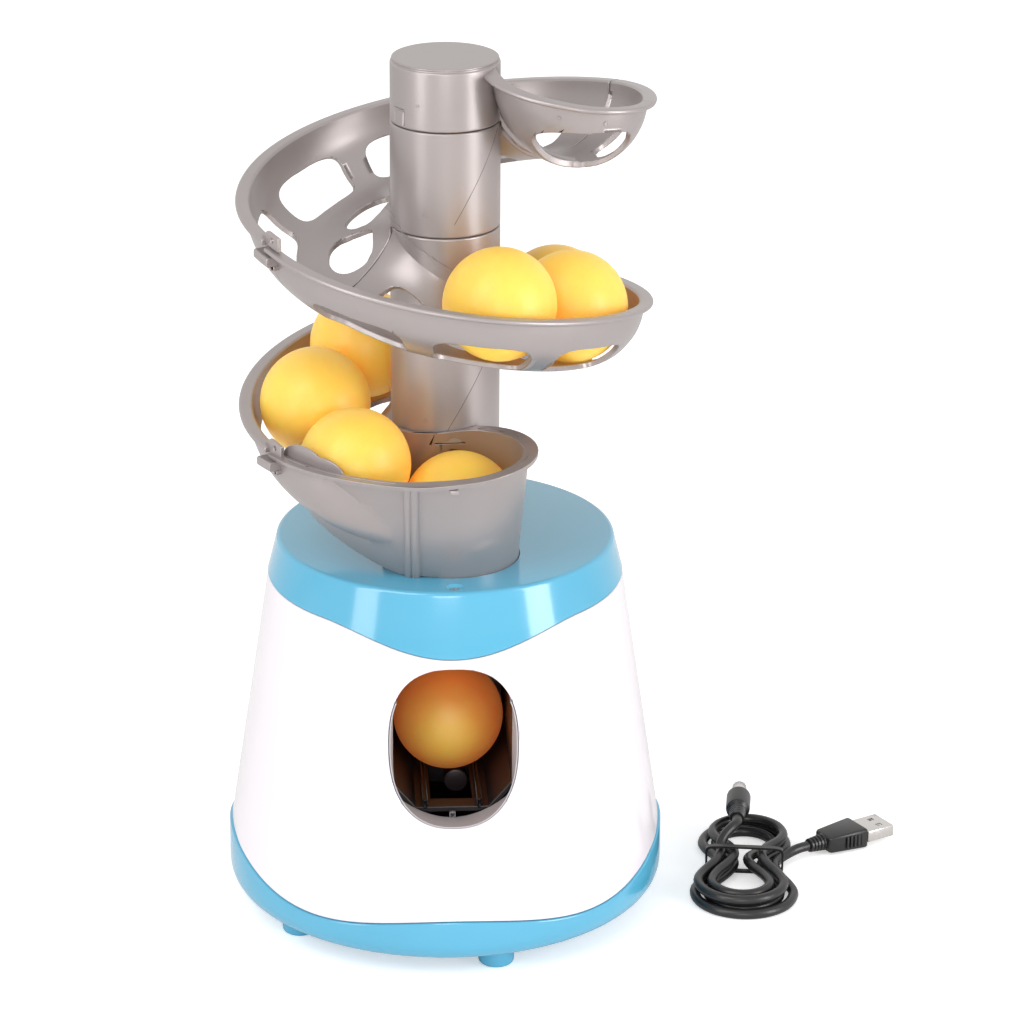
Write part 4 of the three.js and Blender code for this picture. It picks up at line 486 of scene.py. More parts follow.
def loop_point(turns):
    """One place on the racetrack: each loop has 6 parts of run, 6 of turn, 6 of run and 6 of turn."""
    inward = turns if turns < 2 else 4 - turns
    half = OUTER_HALF - LOOP_STEP * inward
    step = (turns % 1.0) * STEPS_A_LOOP
    climb = min(max((turns - 2) * 4 + 0.5, 0.0), 1.0)
    if step < 3:
        along, side, turn = -HALF_RUN * step / 3, 1, None
    elif step < 9:
        along, side, turn = -HALF_RUN, 1, math.pi * (step - 3) / 6
    elif step < 15:
        along, side, turn = -HALF_RUN + HALF_RUN * (step - 9) / 3, -1, None
    elif step < 21:
        along, side, turn = HALF_RUN, -1, math.pi * (step - 15) / 6
    else:
        along, side, turn = HALF_RUN - HALF_RUN * (step - 21) / 3, 1, None
    if turn is None:
        across = side * (half - WAIST * waist_at(along))
    else:
        across = side * half * math.cos(turn)
        along += math.copysign(half * math.sin(turn), along)
    return on_hank(across, along, CABLE / 2 + LAYER_RISE * climb + TIE_RISE * waist_at(along))


# %% Join the route from plug to plug
def cable_route():
    """From the USB plug, through all the loops, up to the barrel plug on top."""
    turn = math.radians(USB["turn"])
    back = Vector((-math.sin(turn), math.cos(turn))) * CABLE
    route = [on_hank(USB["across"], USB["along"], USB["height"]),
             on_hank(USB["across"] - back.x, USB["along"] - back.y, USB["height"])]
    route += [on_hank(*spot) for spot in USB_ROUTE]
    steps = int(LOOPS * STEPS_A_LOOP)
    route += [loop_point(i / STEPS_A_LOOP) for i in range(steps + 1)]
    route += [on_hank(*spot) for spot in BARREL_ROUTE]
    route += [on_hank(BARREL["across"], BARREL["along"] - CABLE, BARREL["height"]),
              on_hank(BARREL["across"], BARREL["along"], BARREL["height"])]
    return route


def smoothed(points, steps=4):
    """Passes a soft curve through every point of the route."""
    fine = []
    for i in range(len(points) - 1):
        a, b = points[i], points[i + 1]
        before, after = points[max(i - 1, 0)], points[min(i + 2, len(points) - 1)]
        for k in range(steps):
            t = k / steps
            fine.append(0.5 * ((2 * a) + (b - before) * t + (2 * before - 5 * a + 4 * b - after) * t * t
                               + (3 * a - before - 3 * b + after) * t * t * t))
    fine.append(points[-1])
    return fine


route = smoothed(cable_route())

# %% Lay the cable as a round curve
line = bpy.data.curves.new("cable", "CURVE")
line.dimensions = "3D"
line.bevel_depth = CABLE / 2 * METRE
line.bevel_resolution = 5
line.use_fill_caps = True
spline = line.splines.new("POLY")
spline.points.add(len(route) - 1)
for spot, point in zip(spline.points, route):
    spot.co = (*(point * METRE), 1.0)
spline.use_smooth = True
line.materials.append(jacket)
cable = bpy.data.objects.new("cable", line)
bpy.context.collection.objects.link(cable)
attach(cable, "root")
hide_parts("cable_hank")

# %% [markdown]
# ### Its plugs and its tie
# The barrel plug is turned, with rings moulded into its strain relief so that it can bend. The USB plug
# has an angular grip round a bent metal shell with two square windows. The tie is a flat black strap
# pulled round the waist of the hank.


# %% Turn the barrel plug
def laid_along(shape, across, along, height, turn=0.0):
    """Turns a shape made along +Y to the hank's direction and lays it in place."""
    spot = Matrix.Translation(on_hank(across, along, height))
    turned_to = Matrix.Rotation(HANK_LEAN + turn, 4, "Z")
    bmesh.ops.transform(shape, matrix=spot @ turned_to, verts=shape.verts)
    return shape


def turned_y(profile, steps=48):
    """Spins a profile of (radius, distance) round the Y axis."""
    shape = turned(lambda angle: profile, steps)
    bmesh.ops.rotate(shape, matrix=Matrix.Rotation(math.radians(-90), 3, "X"), verts=shape.verts)
    return shape


def ringed_relief(start, end, radius_start, radius_end, rings, depth):
    """A tapering strain relief with grooves between its rings, as (radius, distance)."""
    profile = []
    for i in range(rings):
        for share, inward in ((0.0, depth), (0.22, 0.0), (0.68, 0.0), (0.9, depth)):
            t = (i + share) / rings
            profile.append((radius_start + (radius_end - radius_start) * t - inward,
                            start + (end - start) * t))
    return profile


b = BARREL
grip_start, grip_end = b["relief"] + 0.6, b["relief"] + b["length"]
barrel_profile = ([(0.0, 0.3), (b["relief_radius"] - 0.5, 0.3)]
                  + ringed_relief(0.5, b["relief"], b["relief_radius"] - 0.2, b["relief_radius"] + 0.3,
                                  rings=4, depth=0.45)
                  + [(b["radius"] - 0.9, grip_start), (b["radius"] - 0.2, grip_start + 0.8),
                     (b["radius"], grip_start + 2.2), (b["radius"], grip_end - 0.6),
                     (b["radius"] - 0.5, grip_end), (0.0, grip_end)])
barrel_spot = (b["across"], b["along"], b["height"])
barrel_grip = finish_piece("barrel_plug_grip", laid_along(turned_y(barrel_profile), *barrel_spot),
                           nodes=("barrel_plug",), material=jacket)
sleeve_start = grip_end + 0.3
sleeve_profile = [(1.3, sleeve_start), (2.4, sleeve_start), (2.75, sleeve_start + 0.5),
                  (2.75, sleeve_start + 8.0), (2.45, sleeve_start + 8.5), (1.7, sleeve_start + 8.5),
                  (1.35, sleeve_start + 8.1)]
sleeve = finish_piece("barrel_plug_tube", laid_along(turned_y(sleeve_profile), *barrel_spot),
                      nodes=("barrel_plug_sleeve",), material=steel)

# %% Shape the USB plug
u = USB
usb_spot = (u["across"], u["along"], u["height"], math.radians(u["turn"]))
relief = turned_y([(0.0, 0.3), (u["relief_radius"] - 0.6, 0.3)]
                  + ringed_relief(0.5, u["relief"] + 0.5, u["relief_radius"] - 0.3,
                                  u["relief_radius"] + 0.4, rings=5, depth=0.5)
                  + [(0.0, u["relief"] + 1.0)])
grip = brick((-u["half_width"], u["relief"], -u["half_height"]),
             (u["half_width"], u["relief"] + u["length"], u["half_height"]), bevel=1.1, segments=3)
for vert in grip.verts:
    near = 1.0 - min(max((vert.co.y - u["relief"]) / 5.0, 0.0), 1.0)
    vert.co.x *= 1.0 - 0.3 * near
    vert.co.z *= 1.0 - 0.22 * near
ridges = [brick((side * (u["half_width"] - 0.15) - 0.3, u["relief"] + 7 + 1.7 * i, -2.4),
                (side * (u["half_width"] - 0.15) + 0.3, u["relief"] + 7.8 + 1.7 * i, 2.4), bevel=0.14)
          for side in (-1, 1) for i in range(5)]
for ridge in ridges:
    bmesh.ops.scale(ridge, vec=(0.985, 1, 1), verts=ridge.verts)
usb_grip = finish_piece("usb_plug_grip", laid_along(merged(relief, grip, *ridges), *usb_spot),
                        nodes=("usb_plug",), material=jacket)

# %% Bend its metal shell and cut the two windows
shell_start = u["relief"] + u["length"] + 0.3
outer = brick((-6.0, shell_start, -2.25), (6.0, shell_start + 12.0, 2.25), bevel=0.35)
mouth = brick((-5.6, shell_start + 1.0, -1.85), (5.6, shell_start + 13.0, 1.85))
windows = [brick((side * 2.6 - 1.0, shell_start + 6.2, 1.0), (side * 2.6 + 1.0, shell_start + 8.4, 3.0))
           for side in (-1, 1)]
usb_metal = finish_piece("usb_plug_metal", laid_along(combined(outer, [mouth] + windows), *usb_spot),
                         nodes=("usb_plug_shell",), material=steel)
tongue_block = brick((-5.2, shell_start + 0.9, -1.75), (5.2, shell_start + 10.6, 0.1), bevel=0.2)
tongue = finish_piece("usb_plug_tongue", laid_along(tongue_block, *usb_spot),
                      material=white)

# %% Pull the tie round the waist
TIE_SPAN, TIE_HEIGHT, TIE_WALL, TIE_WIDTH = 14.7, 10.8, 0.8, 2.2


def tie_place(x, y, z):
    """Stands the strap's outline up across the hank."""
    return on_hank(x, z - TIE_WIDTH / 2, y + TIE_HEIGHT / 2 + 0.15)


strap_room = extruded(rounded(TIE_SPAN - TIE_WALL, TIE_HEIGHT / 2 - TIE_WALL, 8, 64), TIE_WIDTH * 3,
                      lambda x, y, z: tie_place(x, y, z - TIE_WIDTH))
strap = combined(extruded(rounded(TIE_SPAN, TIE_HEIGHT / 2, 8, 64), TIE_WIDTH, tie_place), [strap_room])
finish_piece("cable_strap", strap, nodes=("cable_tie",), material=jacket)

# %% [markdown]
# ## The tray
# The base is a shallow blue tray on five round feet. Its rim rises and falls as one wave round the
# body, which is why its profile is worked out anew at each angle. The bend at its foot is a soft
# quarter round.

# %% Measure the tray on the model
tray_low, tray_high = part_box("base_tray")
TRAY_RADIUS = round((tray_high.x - tray_low.x) / 2 / METRE, 2)
FOOT_RADIUS, FOOT_CIRCLE, FOOT_ANGLE, FEET = 6.5, 64.5, -76.0, 5
RIM_MIDDLE, SHORT_WAVE, LONG_WAVE = 23.65, 3.85, 3.5
TRAY_BOTTOM, TRAY_WALL, BEND_RISE, BEND_WIDTH, FOOT_BEND = 8.0, 2.2, 7.5, 6.0, 1.6
print("tray radius", TRAY_RADIUS)


def tray_rim(angle):
    """Height of the tray's rim, from its angle: two waves of different length added together."""
    away = math.radians(angle + 90.0)
    return RIM_MIDDLE + SHORT_WAVE * math.cos(4 * away) - LONG_WAVE * math.cos(2 * away)


# %% Turn the tray and its feet
def tray_profile(angle):
    """Out along the underside, up round the bend to the rim, and back down to the floor inside."""
    rim = tray_rim(angle)
    inner = TRAY_RADIUS - TRAY_WALL
    floor = TRAY_BOTTOM + TRAY_WALL
    bend = [(TRAY_RADIUS - BEND_WIDTH * (1 - math.sin(math.radians(a))),
             TRAY_BOTTOM + BEND_RISE * (1 - math.cos(math.radians(a)))) for a in range(0, 91, 15)]
    return ([(0.0, TRAY_BOTTOM)] + bend
            + [(TRAY_RADIUS, rim - 0.5), (TRAY_RADIUS - 0.15, rim - 0.12), (TRAY_RADIUS - 0.5, rim),
               (inner + 0.3, rim), (inner, rim - 0.3), (inner, TRAY_BOTTOM + BEND_RISE),
               (inner - BEND_WIDTH / 2, floor), (0.0, floor)])


def foot_at(k):
    """One round foot with a rolled lower edge, let a little into the tray."""
    angle = math.radians(FOOT_ANGLE + 360.0 * k / FEET)
    profile = ([(0.0, 0.0), (FOOT_RADIUS - 2.2, 0.0)]
               + arc(FOOT_RADIUS - FOOT_BEND, FOOT_BEND, FOOT_BEND, -70, 0, 6)
               + [(FOOT_RADIUS, TRAY_BOTTOM - 0.6), (FOOT_RADIUS + 0.8, TRAY_BOTTOM + 0.6),
                  (0.0, TRAY_BOTTOM + 0.6)])
    shape = turned(lambda a: profile, 48)
    bmesh.ops.translate(shape, vec=(FOOT_CIRCLE * math.cos(angle), FOOT_CIRCLE * math.sin(angle), 0),
                        verts=shape.verts)
    return shape


# %% Open the tray for the batteries and its screws
BATTERY_X, BATTERY_Y, TRAY_SCREW_HOLE = 30.0, 28.5, 1.6
well = brick((-BATTERY_X, -BATTERY_Y, TRAY_BOTTOM - 2), (BATTERY_X, BATTERY_Y, TRAY_BOTTOM + 6))
POST_CIRCLE, POST_ANGLE = 69.0, FOOT_ANGLE + 54.0
post_spots = [(POST_CIRCLE * math.cos(math.radians(POST_ANGLE + 72 * i)),
               POST_CIRCLE * math.sin(math.radians(POST_ANGLE + 72 * i))) for i in range(FEET)]
screw_holes = [cylinder((x, y, TRAY_BOTTOM - 2), (x, y, TRAY_BOTTOM + 6), TRAY_SCREW_HOLE, 24)
               for x, y in post_spots]
tray_shell = combined(turned(tray_profile, 180), [well] + screw_holes)
PEG_X, PEG_Y, PEG_TOP, PEG_RADIUS = -52, 11, 15.7, 2.5
pegs = [cylinder((PEG_X, side * PEG_Y, TRAY_BOTTOM + 1), (PEG_X, side * PEG_Y, PEG_TOP), PEG_RADIUS, 32)
        for side in (-1, 1)]
finish_piece("tray", merged(tray_shell, *[foot_at(k) for k in range(FEET)], *pegs),
             nodes=("base_tray",), material=sky_blue)

# %% [markdown]
# ## The body
# A white cone, 2 mm thick, that stands in the tray and tucks its neck under the cover. Its upper edge
# follows the cover's skirt and its lower edge the tray's wave. The oval window is a superellipse, cut
# straight through the front wall. Five posts inside take the screws that hold the tray.

# %% Work out the body's edges
NECK_RADIUS, BODY_TOP_RADIUS, BODY_LOW_RADIUS = 61.3, 64.4, 79.4
BODY_LOW_Z, BODY_FOOT_Z, NECK_Z, BODY_WALL = 28.5, 15.8, 138.0, 2.0
SKIRT_RADIUS, SKIRT_Z, SKIRT_DIP, DIP_ANGLE = 64.5, 128.5, 8.8, 46.0
COVER_Z, COVER_EDGE, COVER_WALL, BEND_Z = 143.2, 1.8, 2.2, 129.5
SLOPE = (BODY_LOW_RADIUS - BODY_TOP_RADIUS) / (SKIRT_Z - BODY_LOW_Z)
FIT = 0.3


def from_front(angle):
    """How far an angle lies from the front, in degrees to either side."""
    turned_by = (angle + 90.0) % 360.0
    return turned_by - 360.0 if turned_by > 180.0 else turned_by


def skirt_edge(angle):
    """Height of the cover's lower edge, which dips to a gentle point over the window."""
    away = abs(from_front(angle))
    if away >= DIP_ANGLE:
        return SKIRT_Z
    return SKIRT_Z - SKIRT_DIP * math.cos(math.radians(90.0 * away / DIP_ANGLE)) ** 2


# %% Draw the cone and the cover's walls
def body_radius(height):
    """The cone's outside."""
    return min(BODY_TOP_RADIUS + (SKIRT_Z - height) * SLOPE, TRAY_RADIUS - 2 * FIT)


def skirt_radius(height):
    """The cover's outside: on the cone's slant below, a little steeper above the skirt."""
    if height > SKIRT_Z:
        rise = COVER_Z - COVER_EDGE - SKIRT_Z
        return SKIRT_RADIUS - (height - SKIRT_Z) * (SKIRT_RADIUS - NECK_RADIUS) / rise
    return SKIRT_RADIUS + (SKIRT_Z - height) * SLOPE


def cover_inner(height):
    """The cover's inside, where the body's neck has to fit."""
    bend = skirt_radius(BEND_Z) - COVER_WALL
    top = NECK_RADIUS - COVER_EDGE - COVER_WALL
    return bend + (top - bend) * (height - BEND_Z) / (COVER_Z - COVER_WALL - BEND_Z)


def body_profile(angle):
    """Up the outside, over the step to the neck, and down the inside to the foot in the tray."""
    high, low = skirt_edge(angle) - FIT, tray_rim(angle) + FIT
    foot, step, wall = TRAY_RADIUS - TRAY_WALL - FIT, COVER_WALL + FIT, BODY_WALL
    neck = cover_inner(NECK_Z) - FIT
    return [(body_radius(low), low), (body_radius(high) + 0.02, high - 0.25),
            (body_radius(high) - 0.25, high), (body_radius(high) - step, high), (neck, NECK_Z),
            (neck - wall, NECK_Z), (body_radius(high) - step - wall, high - wall),
            (body_radius(high - step - wall) - wall, high - step - 2 * wall),
            (body_radius(low + step + wall) - wall, low + step + wall), (foot - wall, low + step),
            (foot - wall, BODY_FOOT_Z), (foot, BODY_FOOT_Z), (foot, low)]


# %% Cut the window and the rear opening
WINDOW_HALF, WINDOW_LOW, WINDOW_HIGH, WINDOW_POWER = 23.1, 58.4, 116.2, 2.45
WINDOW_MIDDLE = (WINDOW_LOW + WINDOW_HIGH) / 2
REAR_LOW, REAR_HIGH = (-17, 68.6, 31), (17, TRAY_RADIUS + 1, 47)


def along_y(outline, start, end):
    """A flat outline in x and z, extruded from one y to another."""
    return extruded(outline, end - start, lambda x, y, z: (x, start + z, y))


oval = rounded(WINDOW_HALF, (WINDOW_HIGH - WINDOW_LOW) / 2, WINDOW_POWER, 96)
body_shell = combined(turned(body_profile, 240), [
    along_y([(x, z + WINDOW_MIDDLE) for x, z in oval], -TRAY_RADIUS, -30.0),
    brick(REAR_LOW, REAR_HIGH)])
print("window cut", 2 * WINDOW_HALF, "mm wide and", round(WINDOW_HIGH - WINDOW_LOW, 1), "mm high")

# %% Stand the screw posts inside
POST_LOW, POST_HIGH, POST_RADIUS = 10.5, 34, 3.6
RIB_LOW, RIB_OUT = 20, 76.4
posts = []
for x, y in post_spots:
    posts.append(cylinder((x, y, POST_LOW), (x, y, POST_HIGH), POST_RADIUS, 32))
    rib = brick((POST_CIRCLE, -1, RIB_LOW), (RIB_OUT, 1, POST_HIGH), bevel=0.3)
    bmesh.ops.rotate(rib, matrix=Matrix.Rotation(math.atan2(y, x), 3, "Z"), verts=rib.verts)
    posts.append(rib)
soft_edges(finish_piece("white_body", merged(body_shell, *posts), nodes=("body_shell",),
                        material=white), width=0.35, angle=50)

# %% [markdown]
# ## The cover
# A glossy blue lid with a flat top, a small rounded shoulder and a skirt that dips to a gentle point
# over the window. Holes let the hopper's tube and the column's foot through, and two countersunk holes,
# at the front and at the back, take screws.


# %% Turn the cover
def cover_profile(angle):
    """Up the outside, over the shoulder to the middle, and back along the underside."""
    edge = skirt_edge(angle)
    outer, inner = skirt_radius(edge), skirt_radius(edge) - COVER_WALL
    shoulder = arc(NECK_RADIUS - COVER_EDGE, COVER_Z - COVER_EDGE, COVER_EDGE, 8, 90, 8)
    return ([(outer - 0.3, edge), (outer, edge + 0.3), (skirt_radius(BEND_Z), BEND_Z)] + shoulder
            + [(0.0, COVER_Z), (0.0, COVER_Z - COVER_WALL),
               (NECK_RADIUS - COVER_EDGE - COVER_WALL, COVER_Z - COVER_WALL),
               (skirt_radius(BEND_Z) - COVER_WALL, BEND_Z), (inner, edge + 0.3), (inner + 0.3, edge)])


FEED = (1.0, -22.5)
FEED_RADIUS, COLUMN_RADIUS, COLUMN_WALL = 24.5, 19.5, 2.0
SCREW_CIRCLE, SCREW_ANGLE, SCREW_HOLE, SINK_RADIUS = 55.3, -89.0, 1.7, 3.5
HOLE_LOW, HOLE_HIGH = 135, 150
cover_spots = [(SCREW_CIRCLE * math.cos(math.radians(SCREW_ANGLE + 180 * i)),
                SCREW_CIRCLE * math.sin(math.radians(SCREW_ANGLE + 180 * i))) for i in range(2)]
cover_cuts = [cylinder((*FEED, HOLE_LOW), (*FEED, HOLE_HIGH), FEED_RADIUS + FIT, 96),
              cylinder((0, 0, HOLE_LOW), (0, 0, HOLE_HIGH), COLUMN_RADIUS + FIT, 96)]
for x, y in cover_spots:
    cover_cuts.append(cylinder((x, y, HOLE_LOW), (x, y, HOLE_HIGH), SCREW_HOLE, 32))
    cover_cuts.append(cylinder((x, y, COVER_Z - 1.5), (x, y, COVER_Z + 0.4), SCREW_HOLE, 32,
                               radius_end=SINK_RADIUS))
finish_piece("cover", combined(turned(cover_profile, 240), cover_cuts), nodes=("top_cover",),
             material=sky_blue)

# %% [markdown]
# ## The spiral track
# The track is a half pipe with a flat lip, wound round the column while it climbs. It is made as three
# half turns that hook together. Its section is drawn once and spun; each point is then lifted by the
# climb at its angle. Inside, the pipe reaches on to the column, so the inner half of the section is
# wider.

# %% Draw the track's path
CLIMB = 76.3
COLUMN_FOOT, SECTION = 183.4, 38.15
PATH_RADIUS, TRACK_RADIUS, TRACK_WALL = 46.65, 22.3, 1.9
TRACK_LIFT = 2.1
INNER_REACH = PATH_RADIUS - COLUMN_RADIUS + COLUMN_WALL / 2
RIM_RADIUS, RIM_RISE, RIM_WALL = 74.0, 2.8, 1.8
JOINT, PATH_LIFT = 209.0, 0.6
SEAM_TURN, SEAM_GAP = 13.0, 0.4
SEAM_START = PATH_RADIUS - TRACK_RADIUS / 4
RIM_LIFT, LIFT_TURN = 2.4, 45.0


def path_height(angle):
    """Height of the spiral at an angle: it drops by one climb in a full turn."""
    return COLUMN_FOOT + PATH_LIFT - CLIMB * (angle - JOINT) / 360.0


def round_axis(radius, angle, height):
    """A point from its distance to the axis, its angle and its height."""
    way = math.radians(angle)
    return Vector((radius * math.cos(way), radius * math.sin(way), height))


def seam_lean(radius):
    """The joint runs slantwise: near the column it lies this many degrees further back."""
    share = (SEAM_START - radius) / (SEAM_START - COLUMN_RADIUS)
    return SEAM_TURN * min(max(share, 0.0), 1.0)


def on_track(radius, height, angle, end=None):
    """The rim rises a little over its neighbour at the lower end of each half turn."""
    leaned = angle - seam_lean(radius)
    if end is not None and radius > PATH_RADIUS:
        share = min(max((angle - end + LIFT_TURN) / LIFT_TURN, 0.0), 1.0)
        upper = min(max(1.0 + (height - TRACK_LIFT) / TRACK_RADIUS, 0.0), 1.0)
        height += RIM_LIFT * share * share * upper ** 3
    return round_axis(radius, leaned, path_height(leaned) + height)


# %% Draw the track's section
def section_point(angle, wall=0.0):
    """A point of the half pipe, which is wider on the column's side."""
    reach = TRACK_RADIUS if angle > -90.0 else INNER_REACH
    way = math.radians(angle)
    return (PATH_RADIUS + (reach + wall) * math.cos(way),
            TRACK_LIFT + (TRACK_RADIUS + wall) * math.sin(way))


def track_section(start=0.0, end=-180.0, steps=40):
    """Along the inside of the pipe, back along its outside, and round the flat lip."""
    inside = [section_point(start + (end - start) * i / steps) for i in range(steps + 1)]
    outside = [section_point(start + (end - start) * i / steps, TRACK_WALL)
               for i in range(steps, 0, -1)]
    wall = PATH_RADIUS + TRACK_RADIUS
    lip = RIM_WALL / 2
    flange = ([(wall + TRACK_WALL + 0.5, RIM_RISE - RIM_WALL - 0.25),
               (wall + TRACK_WALL + 1.1, RIM_RISE - RIM_WALL)]
              + arc(RIM_RADIUS - lip, RIM_RISE - lip, lip, -90, 90, 8)
              + [(wall + 0.7, RIM_RISE), (wall + 0.15, RIM_RISE - 0.5)])
    return inside + outside + flange


print("the section has", len(track_section()), "points and climbs", CLIMB, "mm a turn")

# %% [markdown]
# ### Windows in the track
# Four openings in each half turn show the balls, with four more beside the column. Each cutter is a
# superellipse in two angles, round the column and round the section, pushed through the wall.

# %% Make a window cutter
OUTER_WINDOW = dict(half=15.5, top=-29.0, bottom=-75.0, power=4.5)
INNER_WINDOW = dict(half=17.0, top=-101.0, bottom=-138.0, power=2.6)
CUT_REACH = 4.0


def at_path(x, y, angle):
    """A point of the section at an angle of the spiral."""
    return round_axis(x, angle, path_height(angle) + y)


def track_window(middle, window, place=at_path, points=56):
    """A cutter that starts inside the pipe and reaches well past its wall."""
    centre = (window["top"] + window["bottom"]) / 2
    outline = rounded(window["half"], (window["top"] - window["bottom"]) / 2, window["power"], points)

    def through(x, y, z):
        spot = section_point(centre + y, z - CUT_REACH)
        return place(spot[0], spot[1], middle + x)

    return extruded(outline, TRACK_WALL + 3 * CUT_REACH, through)


# %% Turn a length of column
SPIGOT, SPIGOT_WALL = 6, 2


def column(low, high):
    """A length of tube with a spigot on top, which plugs into the next length."""
    bore = COLUMN_RADIUS - COLUMN_WALL
    neck = bore - FIT
    profile = [(COLUMN_RADIUS - 0.3, low), (COLUMN_RADIUS, low + 0.3), (COLUMN_RADIUS, high - 0.3),
               (COLUMN_RADIUS - 0.3, high), (neck, high), (neck, high + 5.6),
               (neck - 0.4, high + SPIGOT), (neck - SPIGOT_WALL, high + SPIGOT),
               (neck - SPIGOT_WALL, high - 3), (bore, high - 5), (bore, low)]
    return turned(lambda angle: profile, 128)


def off_column(track, low, high):
    """Trims a track where the neighbouring lengths of column stand."""
    reach = CLIMB
    return combined(track, [
        cylinder((0, 0, low - reach), (0, 0, high + reach), COLUMN_RADIUS - COLUMN_WALL / 2, 96),
        cylinder((0, 0, low - reach), (0, 0, low - FIT / 2), COLUMN_RADIUS + FIT, 96),
        cylinder((0, 0, high + FIT / 2), (0, 0, high + reach), COLUMN_RADIUS + FIT, 96)])


# %% Make the clips that hold two lengths together
PIN_TURN, PIN_RADIUS, PIN_HOLE = 2.6, 1.1, 0.6
TAB_TURN, TAB_HOLE = 6.0, 0.85


def clip_tongue(start, place):
    """The hook that reaches back under the neighbour's rim, with a pin hole in its root."""
    inner, outer = PATH_RADIUS + TRACK_RADIUS + 0.9, RIM_RADIUS + 1.4
    low, high = RIM_RISE - 5.4, RIM_RISE - RIM_WALL - 0.3
    outline = [(inner, low), (RIM_RADIUS + 0.9, low), (outer, low + 0.5), (outer, high - 0.5),
               (RIM_RADIUS + 0.9, high), (inner, high)]
    hook = swept(outline, start - 3.6, start + 3.4, 8, place)
    middle = place(RIM_RADIUS, low - 0.9, start + PIN_TURN)
    outwards = Vector((middle.x, middle.y, 0)).normalized()
    pin = cylinder(middle - outwards * 4.5, middle - outwards * 1.4, PIN_RADIUS, 24)
    return merged(hook, combined(pin, [cylinder(middle - outwards * 3.0, middle, PIN_HOLE, 24)]))


def clip_tab(end, place):
    """The end of a rim: an upright tab with a hole that drops over the next piece's hook."""
    inner, low, high = RIM_RADIUS - 3.4, RIM_RISE + 0.5, RIM_RISE + 5.6
    outline = [(inner, low), (inner + 1.6, low), (inner + 1.6, high - 0.4), (inner + 1.2, high),
               (inner + 0.4, high), (inner, high - 0.4)]

    def sloped(x, y, angle):
        share = min(max((angle - end + TAB_TURN) / TAB_TURN, 0.0), 1.0)
        return place(x, y if y < low + 0.1 else low - 1.6 + (y - low + 1.6) * share, angle)

    tab = swept(outline, end - TAB_TURN, end + 5.6, 12, sloped)
    middle = place(inner, (low + high) / 2 + 0.3, end + PIN_TURN)
    outwards = Vector((middle.x, middle.y, 0)).normalized()
    return combined(tab, [cylinder(middle - outwards, middle + outwards * 3, TAB_HOLE, 24)])


# %% Raise the mould seam and its pin marks on a column
SEAM_BOW = 1.12


def seam_ridge(start, start_height, end, end_height, rise=0.07, width=0.45):
    """A hair-thin curved bead along the mould seam, on a slant on the column."""
    root, top = COLUMN_RADIUS - 0.2, COLUMN_RADIUS + rise
    outline = [(root, -width / 2), (COLUMN_RADIUS, -width / 2), (top, -width / 5), (top, width / 5),
               (COLUMN_RADIUS, width / 2), (root, width / 2)]

    def place(x, y, angle):
        share = (angle - start) / (end - start)
        return round_axis(x, angle, start_height + (end_height - start_height) * share ** SEAM_BOW + y)

    return swept(outline, start, end, 48, place)


def pin_mark(middle, outwards, size=1.0):
    """The small raised ring an ejector pin leaves on a moulding."""
    return combined(cylinder(middle - outwards * 0.4, middle + outwards * 0.2, size, 32, size * 0.85),
                    [cylinder(middle + outwards * 0.02, middle + outwards, size * 0.6, 32)])


# %% Make the three half turns
SEAM_ANGLES, SEAM_RISES, SEAM_SHIFTS = (337.0, 277.0), (36.6, 5.2), (7.0, 180.0, 0.0)
WINDOW_STEP, MARK_ANGLE, MARK_RISE = 40.0, 246.0, 8.4
seam_lines, marks = [], []
for k, name in enumerate(("lower", "middle", "upper")):
    end = JOINT - 180.0 * k
    start = end - 180.0
    low = COLUMN_FOOT + SECTION * k
    high = low + SECTION
    trough = swept(track_section(), start + SEAM_GAP, end - SEAM_GAP, 80,
                   lambda x, y, angle: on_track(x, y, angle, end))
    cutters = []
    for i in range(4):
        middle = start + 90.0 + (i - 1.5) * WINDOW_STEP
        cutters += [track_window(middle, OUTER_WINDOW), track_window(middle, INNER_WINDOW)]
    trough = off_column(combined(trough, [merged(*cutters)]), low, high)
    shift = SEAM_SHIFTS[k]
    seam_lines.append(seam_ridge(SEAM_ANGLES[0] - shift, low + SEAM_RISES[0], SEAM_ANGLES[1] - shift,
                                 low + SEAM_RISES[1]))
    marks.append(pin_mark(round_axis(COLUMN_RADIUS, MARK_ANGLE, low + MARK_RISE),
                          round_axis(1, MARK_ANGLE, 0)))
    shapes = [trough, column(low + FIT / 2, high - FIT / 2), clip_tongue(start + SEAM_GAP, on_track)]
    # The joints at the front left have an upright tab, the one at the back right has none.
    if name != "middle":
        shapes.append(clip_tab(end, on_track))
    soft_edges(finish_piece("spiral_" + name + "_track", merged(*shapes), nodes=("spiral_" + name,),
                            material=silver))

# %% [markdown]
# ## The cap and its loading bowl
# The top of the column is a closed cap. The track's last stretch leaves it and ends in a round bowl,
# half a turned section carried round its own middle, where the balls are dropped in.

# %% Shape the climb and the bowl
CAP_TOP, CAP_RADIUS = 320.5, 19.4
BOWL_END = -12.0 - 360.0
BOWL_SAG, BOWL_TIP = 2.2, (5.6, 6.8)
cap_low = COLUMN_FOOT + SECTION * 3
cap_joint = JOINT - 180.0 * 3
bowl_middle = round_axis(PATH_RADIUS, BOWL_END, path_height(BOWL_END))
bowl_out, bowl_side = round_axis(1, BOWL_END, 0), round_axis(1, BOWL_END - 90.0, 0)


def on_climb(x, y, angle):
    """The track from the joint up to the bowl: it sags the more, the nearer the bowl is."""
    leaned = angle - seam_lean(x) * (angle - BOWL_END) / (cap_joint - BOWL_END)
    sag = BOWL_SAG * max(0.0, (cap_joint - angle) / (cap_joint - BOWL_END)) ** 1.5
    return round_axis(x, leaned, path_height(leaned) + y - sag)


